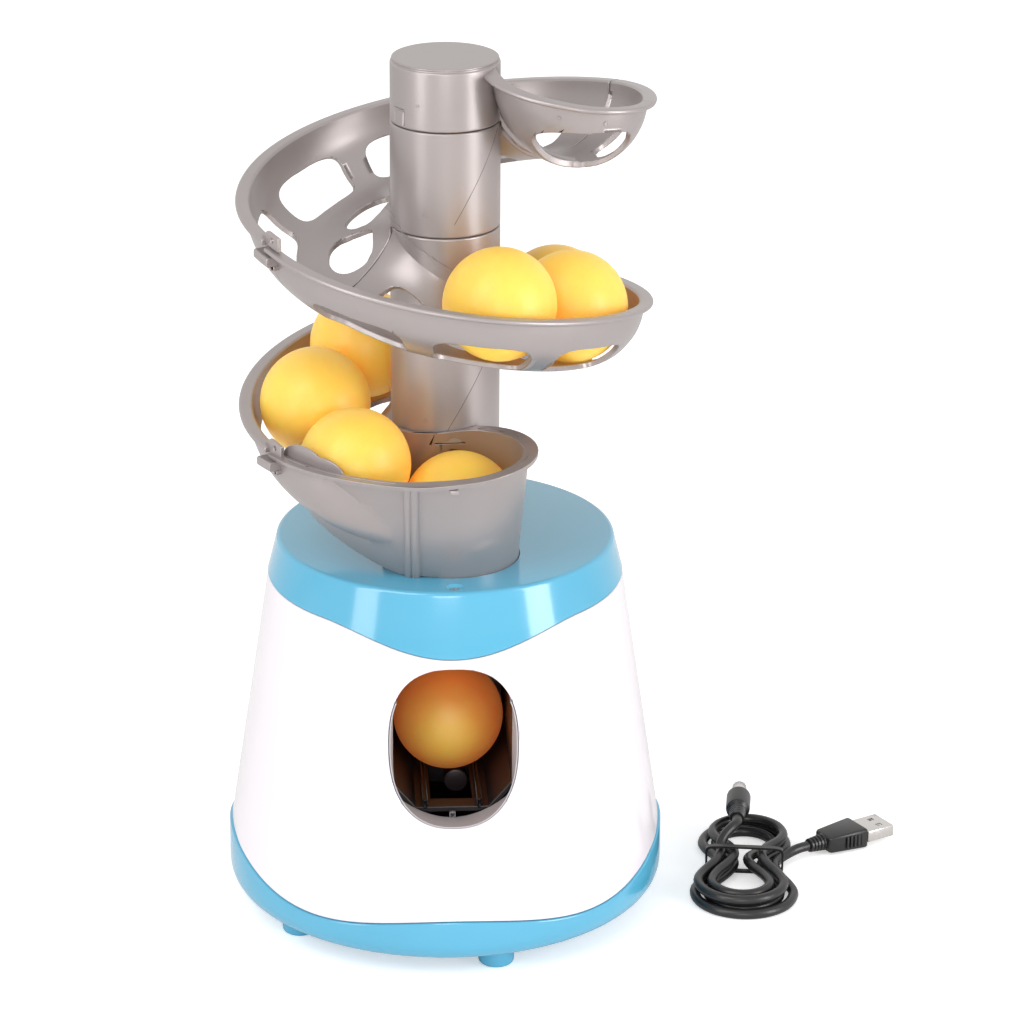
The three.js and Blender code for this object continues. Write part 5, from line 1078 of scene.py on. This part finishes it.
def on_bowl(x, y, angle):
    """The half section carried round the bowl's middle, with a rim that rises towards its tip."""
    reach = x - PATH_RADIUS
    stretch = INNER_REACH / TRACK_RADIUS if angle > 90.0 else 1.0
    share = angle / 180.0
    high = min(1.0, max(0.0, 1.0 + y / TRACK_RADIUS))
    way = math.radians(angle)
    spot = (bowl_middle + bowl_out * (reach * stretch * math.cos(way))
            + bowl_side * (reach * math.sin(way)))
    spot.z = bowl_middle.z + y - BOWL_SAG + high * share * (BOWL_TIP[0] + BOWL_TIP[1] * share)
    return spot


def at_bowl(x, y, angle):
    """The same without the rise, for the window's cutter."""
    reach, way = x - PATH_RADIUS, math.radians(angle)
    spot = bowl_middle + bowl_out * (reach * math.cos(way)) + bowl_side * (reach * math.sin(way))
    spot.z = bowl_middle.z + y - BOWL_SAG
    return spot


# %% Cut the bowl's windows and join it to the climb
LAP = 1.0
BACK_WINDOW = dict(half=13.0, top=-31.0, bottom=-74.0, power=3.5)
FRONT_WINDOW = dict(half=56.0, top=-15.0, bottom=-82.0, power=3.8)
COLUMN_WINDOW = dict(half=12.0, top=-103.0, bottom=-140.0, power=2.6)
JOINT_NOTCH = dict(half=1.1, top=-8.0, bottom=-52.0, power=8.0)
climb = swept(track_section(), BOWL_END - LAP, cap_joint - SEAM_GAP, 40, on_climb)
half_section = [(max(x, PATH_RADIUS + 0.4), y) for x, y in track_section(0.0, -90.0, 24)]
bowl = swept(half_section, -LAP, 180.0 + LAP, 72, on_bowl)
wall = PATH_RADIUS + TRACK_RADIUS
front_window = track_window(76.0, FRONT_WINDOW, at_bowl, 96)
climb = combined(climb, [track_window(BOWL_END + 12.0, BACK_WINDOW),
                         track_window(BOWL_END + 14.0, COLUMN_WINDOW),
                         track_window(cap_joint - 0.9, JOINT_NOTCH)])
bowl = combined(bowl, [front_window, track_window(BOWL_END + 12.0, BACK_WINDOW)])
climb = off_column(climb, cap_low, CAP_TOP + SECTION)
bowl = off_column(bowl, cap_low, CAP_TOP + SECTION)
BOWL_MARKS = (58.0, 96.0)
for around in BOWL_MARKS:
    middle, inner = on_bowl(wall + TRACK_WALL, -2.6, around), on_bowl(wall, -2.6, around)
    outwards = (middle - inner).normalized()
    marks.append(pin_mark(middle - outwards * 0.25, outwards, 0.8))
dish = merged(climb, bowl)
print("bowl joined:", len(dish.faces), "faces")

# %% Turn the cap
cap_profile = ([(0.0, CAP_TOP), (CAP_RADIUS - 0.8, CAP_TOP), (CAP_RADIUS - 0.4, CAP_TOP - 0.35),
                (CAP_RADIUS - 0.75, CAP_TOP - 0.75), (CAP_RADIUS - 0.75, CAP_TOP - 1.05)]
               + arc(CAP_RADIUS - 0.8, CAP_TOP - 1.95, 0.8, 80, 0, 5)
               + [(CAP_RADIUS, cap_low + FIT / 2 + 0.3), (CAP_RADIUS - 0.3, cap_low + FIT / 2),
                  (COLUMN_RADIUS - COLUMN_WALL, cap_low + FIT / 2),
                  (COLUMN_RADIUS - COLUMN_WALL, CAP_TOP - 2.2), (0.0, CAP_TOP - 2.2)])
cap_tube = turned(lambda angle: cap_profile, 128)
print("cap turned:", len(cap_tube.faces), "faces")

# %% Cut the outline of the snap tongue into the cap
# Each cut is one shallow groove: its first and last angle, its lowest and its highest place.
GROOVE = 0.35
TONGUE_CUTS = [(202.0, 204.0, 299.0, 304.6), (218.0, 220.0, 299.0, 304.6), (202.0, 220.0, 303.9, 304.6)]


def groove(start, end, low, high):
    """A block that reaches a little into the cap's wall."""
    outline = [(CAP_RADIUS - GROOVE, low), (CAP_RADIUS + 1, low), (CAP_RADIUS + 1, high),
               (CAP_RADIUS - GROOVE, high)]
    return swept(outline, start, end, 8, lambda x, y, angle: round_axis(x, angle, y))


left_groove, right_groove, top_groove = [groove(*edges) for edges in TONGUE_CUTS]
cap_tube = combined(cap_tube, [combined(left_groove, [right_groove, top_groove], "UNION")])
soft_edges(finish_piece("cap_and_bowl", merged(dish, cap_tube), nodes=("cap_bowl",),
                        material=silver))

# %% Finish the seams and the pin marks
CAP_MARK_ANGLE, CAP_MARK_HEIGHT, CAP_MARK_SIZE = 238.0, 307.0, 0.7
marks.append(pin_mark(round_axis(CAP_RADIUS, CAP_MARK_ANGLE, CAP_MARK_HEIGHT),
                      round_axis(1, CAP_MARK_ANGLE, 0), CAP_MARK_SIZE))
finish_piece("pin_marks", merged(*marks), material=silver)
# The seams get a dark grey: painted shade, the shadow of a fine groove, on a bead that is hardly
# raised.
seam_shade = moulded("seam_painted_shade", (0.1, 0.088, 0.085), 0.35)
finish_piece("mould_seams", merged(*seam_lines), material=seam_shade)

# %% [markdown]
# ## The hopper
# A funnel with slanted walls: its rim follows the track and ends in a half circle, its foot is the
# round feed tube. Each point of the rim is paired with one of the foot, and the walls run straight
# between them. The rim tilts up a little towards its round end, and the wall swells where a ball lies
# against it. A sloping floor, a flat rim, a twin rib and a scalloped guard flap complete it.

# %% Pair the rim with the foot
HOPPER_RIM, HOPPER_FOOT, HOPPER_FLOOR, HOPPER_WALL = 187.2, 46.6, 160.0, 2.0
CORNER_ANGLE, HOPPER_END, BACK_REACH = 248.0, 273.9, 3.4
hopper_end = round_axis(PATH_RADIUS, HOPPER_END, 0)


def hopper_pairs(inset, outer=28, round_end=48, inner_steps=20):
    """The rim's points with their partners at the foot: by the track, the round end, the column."""
    pairs = []
    rim, foot = PATH_RADIUS + TRACK_RADIUS + TRACK_WALL - inset, HOPPER_FOOT - inset
    for i in range(outer):
        way = round_axis(1, JOINT + (HOPPER_END - JOINT) * i / outer + SEAM_GAP, 0)
        pairs.append((way.xy * rim, way.xy * foot))
    end_radius, foot_round = TRACK_RADIUS + TRACK_WALL - inset, FEED_RADIUS - inset - FIT
    for i in range(round_end + 1):
        way = round_axis(1, HOPPER_END - 360.0 + 180.0 * i / round_end, 0)
        top = Vector((hopper_end.x + end_radius * way.x,
                      hopper_end.y + end_radius * way.y + BACK_REACH * max(way.y, 0.0)))
        pairs.append((top, Vector(FEED) + way.xy * foot_round))
    inner = COLUMN_RADIUS + inset if inset > 0 else COLUMN_RADIUS - COLUMN_WALL / 2
    back_foot, side_foot = pairs[-1][1], round_axis(inner, JOINT + SEAM_GAP, 0).xy
    for i in range(1, inner_steps + 1):
        share = i / inner_steps
        way = round_axis(inner, HOPPER_END + (JOINT + SEAM_GAP - HOPPER_END) * share, 0)
        pairs.append((way.xy, back_foot.lerp(side_foot, share)))
    return pairs


# %% Loft the slanted walls
RIM_TILT, TILT_FROM, LEVEL = 0.1, -12.0, 6


def tilt_at(x, z):
    """The rim rises towards its round end at the right, and the walls with it, down to their foot."""
    return RIM_TILT * max(x - TILT_FROM, 0.0) * min((z - COVER_Z) / (HOPPER_RIM - COVER_Z), 1.0)


def lofted(pairs, low, high):
    """Extrudes the rim's outline down along the slant between two heights."""
    match = {(round(top.x, 3), round(top.y, 3)): (top, foot) for top, foot in pairs}

    def place(x, y, z):
        top, foot = match[(round(x, 3), round(y, 3))]
        spot = top.lerp(foot, (HOPPER_RIM - z - low) / (HOPPER_RIM - COVER_Z))
        return Vector((spot.x, spot.y, z + low + tilt_at(spot.x, z + low)))

    outline = [tuple(top) for top, foot in pairs]
    return extruded(outline, high - low, place, levels=1 + int((high - low) / LEVEL))


# %% Make the cutters for its floor and its stub
def under_floor(lift):
    """A large block whose top is the plane of the hopper's floor."""
    high = round_axis(HOPPER_FOOT + TRACK_RADIUS / 2, JOINT, HOPPER_FLOOR)
    inner = round_axis(COLUMN_RADIUS, JOINT, HOPPER_FLOOR)
    corner = round_axis(HOPPER_FOOT, CORNER_ANGLE, COVER_Z)
    normal = (inner - high).cross(corner - high).normalized()
    if normal.z < 0:
        normal.negate()
    size = CLIMB * 2
    slab = brick((-size / 2, -size / 2, lift - size), (size / 2, size / 2, lift))
    turn = normal.to_track_quat("Z", "Y").to_matrix().to_4x4()
    bmesh.ops.transform(slab, matrix=Matrix.Translation(high) @ turn, verts=slab.verts)
    return slab


def over_stub():
    """Clears the room that the column takes above the hopper's own stub."""
    return cylinder((0, 0, COLUMN_FOOT - FIT / 2), (0, 0, HOPPER_RIM + CLIMB), COLUMN_RADIUS + FIT, 96)


# %% Build the hopper's walls
SEAT_THICK, SEAT_REACH, TUBE_FOOT = 2.1, 4.2, 108
STUB_FOOT = COVER_Z - COVER_WALL - FIT - SEAT_THICK
walls = combined(lofted(hopper_pairs(0), COVER_Z + FIT, HOPPER_RIM), [under_floor(0), over_stub()])
flange = combined(lofted(hopper_pairs(-(RIM_RADIUS - PATH_RADIUS - TRACK_RADIUS - TRACK_WALL)),
                         HOPPER_RIM - RIM_WALL, HOPPER_RIM), [over_stub()])
tube = cylinder((*FEED, TUBE_FOOT), (*FEED, COVER_Z + 4), FEED_RADIUS, 96)
seat = cylinder((*FEED, STUB_FOOT), (*FEED, STUB_FOOT + SEAT_THICK), FEED_RADIUS + SEAT_REACH, 96)
print("feed tube starts at", TUBE_FOOT, "mm")

# %% Lay a twin rib along its front
RIB_TOP, RIB_BOTTOM, RIB_RADIUS, RIB_APART = 257.8, 253.1, 1.5, 1.22
low_radius, high_radius = HOPPER_FOOT + 0.3, PATH_RADIUS + TRACK_RADIUS + TRACK_WALL + 0.3
ribs = []
for side in (-1, 1):
    low_angle = RIB_BOTTOM + math.degrees(side * RIB_APART / low_radius)
    high_angle = RIB_TOP + math.degrees(side * RIB_APART / high_radius)
    ribs.append(cylinder(round_axis(low_radius, low_angle, COVER_Z + FIT),
                         round_axis(high_radius, high_angle, HOPPER_RIM - RIM_WALL / 2),
                         RIB_RADIUS, 32))
print("ribs made:", len(ribs))

# %% Let the track run on into the funnel
ENTRY_TURN, ENTRY_EASE, ENTRY_NARROW = 46.0, 30.0, 0.5
BLOCK = 90


def above(height):
    """A block that takes away what stands above a height."""
    return brick((-BLOCK, -BLOCK, height), (BLOCK, BLOCK, HOPPER_RIM + BLOCK))


def channel(radius, start):
    """The track's half pipe, which narrows on its outer side as it fades out."""
    outline = arc(PATH_RADIUS, TRACK_LIFT, radius, -180, 0, 36) + [
        (PATH_RADIUS + radius, TRACK_RADIUS), (PATH_RADIUS - radius, TRACK_RADIUS)]

    def place(x, y, angle):
        share = max(angle - JOINT - ENTRY_TURN + ENTRY_EASE, 0.0) / ENTRY_EASE
        narrow = 1.0 - (ENTRY_NARROW * share * share * (3 - 2 * share) if x > PATH_RADIUS else 0.0)
        return round_axis(PATH_RADIUS + (x - PATH_RADIUS) * narrow, angle, path_height(angle) + y)

    return swept(outline, start, JOINT + ENTRY_TURN, 32, place)


entry_wall = combined(channel(TRACK_RADIUS + TRACK_WALL, JOINT + SEAM_GAP),
                      [above(HOPPER_RIM), over_stub()])
stub = cylinder((0, 0, STUB_FOOT), (0, 0, COLUMN_FOOT - FIT / 2), COLUMN_RADIUS, 96)
collar = combined(combined(cylinder((*FEED, COVER_Z + FIT), (*FEED, HOPPER_RIM), FEED_RADIUS, 96),
                           [lofted(hopper_pairs(0), COVER_Z + FIT, HOPPER_RIM)], "INTERSECT"),
                  [under_floor(HOPPER_WALL / 2)], "INTERSECT")
whole = walls
for part in (flange, tube, seat, entry_wall, stub, collar, *ribs):
    whole = combined(whole, [part], "UNION")
print("hopper joined:", len(whole.faces), "faces")

# %% Swell the wall round the balls in the hopper
BALL_RADIUS, SWELLING_WALL, NESTED_TO = 19.9, 1.2, 290.0
nested = []
for name in ("hopper_ball", *["track_ball_" + str(i + 1) for i in range(7)]):
    ball_low, ball_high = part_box(name)
    spot = (ball_low + ball_high) / 2 / METRE
    turn = math.degrees(math.atan2(spot.y, spot.x)) % 360.0
    if JOINT < turn < NESTED_TO and spot.z < HOPPER_RIM + 8:
        nested.append(spot)
        print(name, "lies in the hopper at", round(turn), "degrees")


def round_ball(spot, radius):
    """A sphere round a ball in the hopper, cut off at the rim."""
    sphere = bmesh.new()
    bmesh.ops.create_uvsphere(sphere, u_segments=96, v_segments=48, radius=radius)
    bmesh.ops.translate(sphere, vec=spot, verts=sphere.verts)
    return combined(sphere, [above(HOPPER_RIM - 0.5)])


for spot in nested:
    swelling = round_ball(spot, BALL_RADIUS + FIT + SWELLING_WALL)
    whole = combined(whole, [combined(swelling, [over_stub(), under_floor(0)])], "UNION")
print("hopper swollen:", len(whole.faces), "faces")

# %% Hollow the hopper
mouth = cylinder((*FEED, COVER_Z - CLIMB), (*FEED, HOPPER_RIM), FEED_RADIUS - HOPPER_WALL, 96)
room = combined(lofted(hopper_pairs(HOPPER_WALL), COVER_Z - HOPPER_WALL, HOPPER_RIM + 1),
                [combined(under_floor(HOPPER_WALL), [mouth])])
bore = cylinder((*FEED, TUBE_FOOT - 1), (*FEED, COVER_Z + 4), FEED_RADIUS - HOPPER_WALL, 96)
column_bore = cylinder((0, 0, STUB_FOOT - 1), (0, 0, COLUMN_FOOT + 1), COLUMN_RADIUS - COLUMN_WALL, 96)
whole = combined(whole, [room, bore, channel(TRACK_RADIUS, JOINT - SEAM_GAP), column_bore,
                         *[round_ball(spot, BALL_RADIUS + FIT) for spot in nested]])
print("hopper hollowed:", len(whole.faces), "faces")

# %% Stand the guard flap on the rim
GUARD_START, GUARD_TURN, GUARD_RISE, GUARD_WALL = 211.5, 26.0, 7.6, 1.0
GUARD_LOBES = [(0.37, 0.37, 1.0), (0.67, 0.31, 0.74)]


def guard_height(share):
    """Two lobes side by side, the first one taller: each has a middle, a half width and a height."""
    return max([high * math.sqrt(max(0.0, 1 - ((share - middle) / half) ** 2))
                for middle, half, high in GUARD_LOBES])


def guard_place(x, y, angle):
    """Carries the flap's outline round the rim, its upper part as high as the lobes are there."""
    share = (angle - GUARD_START) / GUARD_TURN
    rise = y * (guard_height(share) if y > 0 else 1.0)
    return round_axis(x, angle, HOPPER_RIM - RIM_WALL + rise)


inner = PATH_RADIUS + TRACK_RADIUS - GUARD_WALL
guard = swept([(inner - 1.9, -4.0), (inner - 0.9, -4.0), (inner + GUARD_WALL, 0.0),
               (inner + GUARD_WALL, GUARD_RISE), (inner + 0.2, GUARD_RISE), (inner, 0.0)],
              GUARD_START, GUARD_START + GUARD_TURN, 40, guard_place)
print("guard made:", len(guard.faces), "faces")

# %% Add the clip's hook and the nub on the rim, and finish the hopper
NUB_ANGLE = 269.9
hook = clip_tongue(JOINT + SEAM_GAP,
                   lambda x, y, angle: round_axis(x, angle, HOPPER_RIM - RIM_RISE + y))
nub = brick((-1.6, -1.0, -1.0), (1.6, 1.0, 1.0), bevel=0.5)
nub_place = round_axis(PATH_RADIUS + TRACK_RADIUS + TRACK_WALL + 1.2, NUB_ANGLE, HOPPER_RIM - 2.0)
bmesh.ops.translate(nub, vec=nub_place, verts=nub.verts)
soft_edges(finish_piece("hopper_funnel", merged(whole, guard, hook, nub), nodes=("hopper",),
                        material=silver), width=0.18)

# %% [markdown]
# ## The window's inside
# Behind the oval window sit a short grey chute that lines the hole, a cradle with two rails that holds
# the next ball, and the frame with its boss. Cradle and frame are near-black: painted shade for the
# unlit inside of the body.

# %% Line the window
LIP_SIDE, LIP_LOW, LIP_CORNER, LIP_TOP, LIP_BACK, LIP_EDGE = 21.2, 55.4, 65.0, 103.0, -57.8, 0.45


def lip_points(angle):
    """From the oval at the body's face to straight sides and a flat arc at the back."""
    x, z = math.cos(math.radians(angle)), math.sin(math.radians(angle))
    x = math.copysign(abs(x) ** (2 / WINDOW_POWER), x)
    z = math.copysign(abs(z) ** (2 / WINDOW_POWER), z)

    def oval(inset):
        return x * (WINDOW_HALF - inset), WINDOW_MIDDLE + z * ((WINDOW_HIGH - WINDOW_LOW) / 2 - inset)

    def at_face(spot, inset):
        depth = math.sqrt((body_radius(spot[1]) - inset) ** 2 - spot[0] ** 2)
        return Vector((spot[0], -depth, spot[1]))

    outer, inner = oval(FIT), oval(FIT + LIP_EDGE)
    side = min(max(inner[0], -LIP_SIDE), LIP_SIDE)
    low = inner[1]
    if low < WINDOW_MIDDLE and abs(inner[0]) <= LIP_SIDE:
        low = LIP_LOW + (LIP_CORNER - LIP_LOW) * (side / LIP_SIDE) ** 2
    away = Vector((x, z)).normalized() * 1.3
    return [at_face(inner, 0.5), at_face(outer, 0.5), at_face(outer, 2.6),
            Vector((side + away.x, LIP_BACK, low + away.y)), Vector((side, LIP_BACK, low))]


chute = combined(looped(lip_points, 192), [brick((-40, -90, LIP_TOP), (40, 0, 150))])
# The chute has its own grey, set lighter than the tower's silver: painted light for the shade that the
# window's upper edge casts on it.
lip_grey = moulded("lip_grey_raised_by_painted_light", (0.44, 0.415, 0.43), 0.4, cloud=0.02, grain=0.03)
catch = brick((-1.05, LIP_BACK - 1.4, LIP_LOW - 0.4), (1.05, LIP_BACK + 0.1, LIP_LOW + 2.4), bevel=0.15)
soft_edges(finish_piece("launch_lip", merged(chute, catch), nodes=("launch_chute",),
                        material=lip_grey), width=0.12)

# %% Make the cradle and its rails
cradle_low, cradle_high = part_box("ball_cradle")
CRADLE_BACK, CRADLE_FRONT = cradle_high.y / METRE, cradle_low.y / METRE
HALF, BEND, FLOOR_HALF, FLOOR, TOP = 21.2, 68.8, 13.0, 59.2, 101.0
FLOOR_SLOT, PIN_Z, PINS_Y = 7.5, 86, (-22, -6)
outside = [(-HALF - 2, TOP), (-HALF - 2, BEND), (-FLOOR_HALF - 1, FLOOR - 2),
           (FLOOR_HALF + 1, FLOOR - 2), (HALF + 2, BEND), (HALF + 2, TOP)]
inside = [(HALF, TOP), (HALF, BEND), (FLOOR_HALF, FLOOR), (-FLOOR_HALF, FLOOR), (-HALF, BEND),
          (-HALF, TOP)]
trough = combined(along_y(outside + inside, CRADLE_FRONT, CRADLE_BACK), [
    brick((-FLOOR_SLOT, -50, FLOOR - 3), (FLOOR_SLOT, -4, FLOOR + 1)),
    *[cylinder((-30, y, PIN_Z), (30, y, PIN_Z), 1.6, 24) for y in PINS_Y]])
RAIL_SPACING, RAIL_TOP = 9.7, 80.3 - math.sqrt(20.2 ** 2 - 8.7 ** 2)
rails = [brick((side * RAIL_SPACING - 1, CRADLE_FRONT, FLOOR - 1),
               (side * RAIL_SPACING + 1, CRADLE_BACK, RAIL_TOP), bevel=0.35) for side in (-1, 1)]
# The cradle's near-black is painted shade: the inside of the body gets little light.
soft_edges(finish_piece("cradle_with_rails", merged(trough, *rails), nodes=("ball_cradle",),
                        material=black))

# %% Face the frame's boss
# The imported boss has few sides. A fine turned face, a shade lighter than the black behind it, covers
# it.
boss_grey = moulded("lighter_black_plastic", (0.045, 0.033, 0.036), 0.4, cloud=0.1, grain=0.05)
BOSS_PLACE = (2.9, -22.7, 53.4)
boss_face = turned_y([(0.0, 0.0), (3.6, 0.0), (4.2, 0.25), (4.3, 0.6), (4.3, 1.2), (0.0, 1.2)], 64)
bmesh.ops.translate(boss_face, vec=BOSS_PLACE, verts=boss_face.verts)
finish_piece("frame_boss_face", boss_face, material=boss_grey)

# %% [markdown]
# ## The balls
# Table tennis balls are thin shells with a satin skin; their welded seam is too faint to show here.
# Each ball is a smooth sphere; how much light falls on each of its points is painted on, stored there
# as an attribute. The ball inside the body gets a duller copy of the plastic with painted shade, and
# its painted light comes from the window only.


# %% Make the balls
LIT_FROM = Vector((-0.35, -0.75, 0.55)).normalized()


def ball(name, node, body="root", seed=0, skin=ball_skin, lit_from=LIT_FROM, gain=1.0, shift=0.0):
    """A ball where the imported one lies; the seed makes each one a touch warmer or cooler."""
    low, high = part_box(node)
    centre = (low + high) / 2
    shape = bmesh.new()
    bmesh.ops.create_uvsphere(shape, u_segments=72, v_segments=36, radius=BALL_RADIUS)
    chance = random.Random(seed)
    uneven = chance.uniform(-0.05, 0.05)
    # Painted light and shade: each point stores how squarely it faces the light direction lit_from.
    layer = shape.verts.layers.float.new("painted_light")
    for vert in shape.verts:
        vert[layer] = gain * vert.co.normalized().dot(lit_from) + shift + uneven
    bmesh.ops.translate(shape, vec=centre / METRE, verts=shape.verts)
    return finish_piece(name, shape, body=body, nodes=(node,), material=skin, sharp=80)


for i in range(7):
    ball("queued_ball_" + str(i + 1), "track_ball_" + str(i + 1), seed=i)
ball("ball_in_hopper", "hopper_ball", seed=11)
ball("ball_in_tube", "tube_ball", seed=12)
ball("ball_to_serve", "launch_ball", body="served_ball", seed=13, skin=dim_skin,
     lit_from=Vector((-0.1, -1.0, 0.0)).normalized(), gain=2.2, shift=-2.0)

# %% [markdown]
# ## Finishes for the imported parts
# What stays as packed, mostly the launcher inside the body, gets a finish that suits its material.

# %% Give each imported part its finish
finishes = {
    "mechanism_frame": black, "striker": black, "battery_box": black, "rear_panel": black,
    "switch_housing": black, "switch_knob": silver, "supply_jack": black, "sector_gear": nylon,
    "gearbox": white, "battery_door": sky_blue, "circuit_board": laminate, "guide_bush": steel,
    "drive_shaft": steel, "motor": steel, "striker_spring": steel, "front_contacts": plated,
    "rear_contacts": plated,
}
for name in list(frame["nodes"]):
    if "_screw_" in name:
        finishes[name] = steel
for name, material in finishes.items():
    part = bpy.data.objects[name]
    part.data.materials.clear()
    part.data.materials.append(material)
print("finished", len(finishes), "packed parts")

# %% [markdown]
# ## The studio
# A product photograph on white: a pale floor, a white surround that is at full strength only for the
# camera and in reflections, a broad soft light from the upper left, a tall strip on each side for the
# long highlights on the blue and grey plastic, and a fill from the front that reaches into the window.

# %% Lay the floor
floor_mesh = bmesh.new()
bmesh.ops.create_grid(floor_mesh, x_segments=1, y_segments=1, size=4.0)
floor = loose("studio_floor", floor_mesh)
paper = bpy.data.materials.new("white_paper")
paper.use_nodes = True
nodes, links = paper.node_tree.nodes, paper.node_tree.links
shader = nodes["Principled BSDF"]
shader.inputs["Base Color"].default_value = (0.93, 0.93, 0.93, 1)
shader.inputs["Roughness"].default_value = 0.85
shader.inputs["Specular IOR Level"].default_value = 0.1
glow = nodes.new("ShaderNodeEmission")
glow.inputs["Color"].default_value = (1, 1, 1, 1)
path = nodes.new("ShaderNodeLightPath")
both = nodes.new("ShaderNodeAddShader")
share = nodes.new("ShaderNodeMath")
share.operation = "MULTIPLY"
share.inputs[1].default_value = 0.42
links.new(path.outputs["Is Camera Ray"], share.inputs[0])
links.new(share.outputs[0], glow.inputs["Strength"])
links.new(shader.outputs[0], both.inputs[0])
links.new(glow.outputs[0], both.inputs[1])
links.new(both.outputs[0], nodes["Material Output"].inputs["Surface"])
floor.data.materials.append(paper)
print("floor laid")

# %% Surround it with white
world = bpy.data.worlds.new("white_room")
bpy.context.scene.world = world
world.use_nodes = True
nodes, links = world.node_tree.nodes, world.node_tree.links
back = nodes["Background"]
back.inputs["Color"].default_value = (1.0, 0.99, 0.98, 1)
path = nodes.new("ShaderNodeLightPath")
seen = nodes.new("ShaderNodeMath")
seen.operation = "MAXIMUM"
links.new(path.outputs["Is Camera Ray"], seen.inputs[0])
links.new(path.outputs["Is Transmission Ray"], seen.inputs[1])
mirrored = nodes.new("ShaderNodeMath")
mirrored.operation = "MAXIMUM"
links.new(seen.outputs[0], mirrored.inputs[0])
links.new(path.outputs["Is Glossy Ray"], mirrored.inputs[1])
level = nodes.new("ShaderNodeMapRange")
level.inputs["To Min"].default_value = 0.66
level.inputs["To Max"].default_value = 1.0
links.new(mirrored.outputs[0], level.inputs["Value"])
links.new(level.outputs["Result"], back.inputs["Strength"])
print("world set")


# %% Hang the lights
def soft_light(name, place, aim, size, power, height=None):
    """A rectangle of light that faces its aim: sizes in metres, power in watts."""
    lamp = bpy.data.lights.new(name, "AREA")
    lamp.shape = "RECTANGLE"
    lamp.size, lamp.size_y = size, height or size
    lamp.energy = power
    light = bpy.data.objects.new(name, lamp)
    light.location = place
    light.rotation_euler = (Vector(aim) - Vector(place)).to_track_quat("-Z", "Y").to_euler()
    bpy.context.collection.objects.link(light)
    return light


middle = (0.0, 0.0, 0.16)
soft_light("key_light", (-0.75, -0.85, 1.35), middle, 0.9, 8.7)
soft_light("left_strip", (-1.0, -0.75, 0.35), middle, 0.35, 4.6, 1.1)
soft_light("right_strip", (1.05, -0.65, 0.35), middle, 0.4, 10.5, 1.1)
soft_light("front_fill", (-0.05, -1.7, 0.55), middle, 0.5, 5.4)
bpy.context.scene.view_settings.view_transform = "Standard"
print("lights hung: 4")
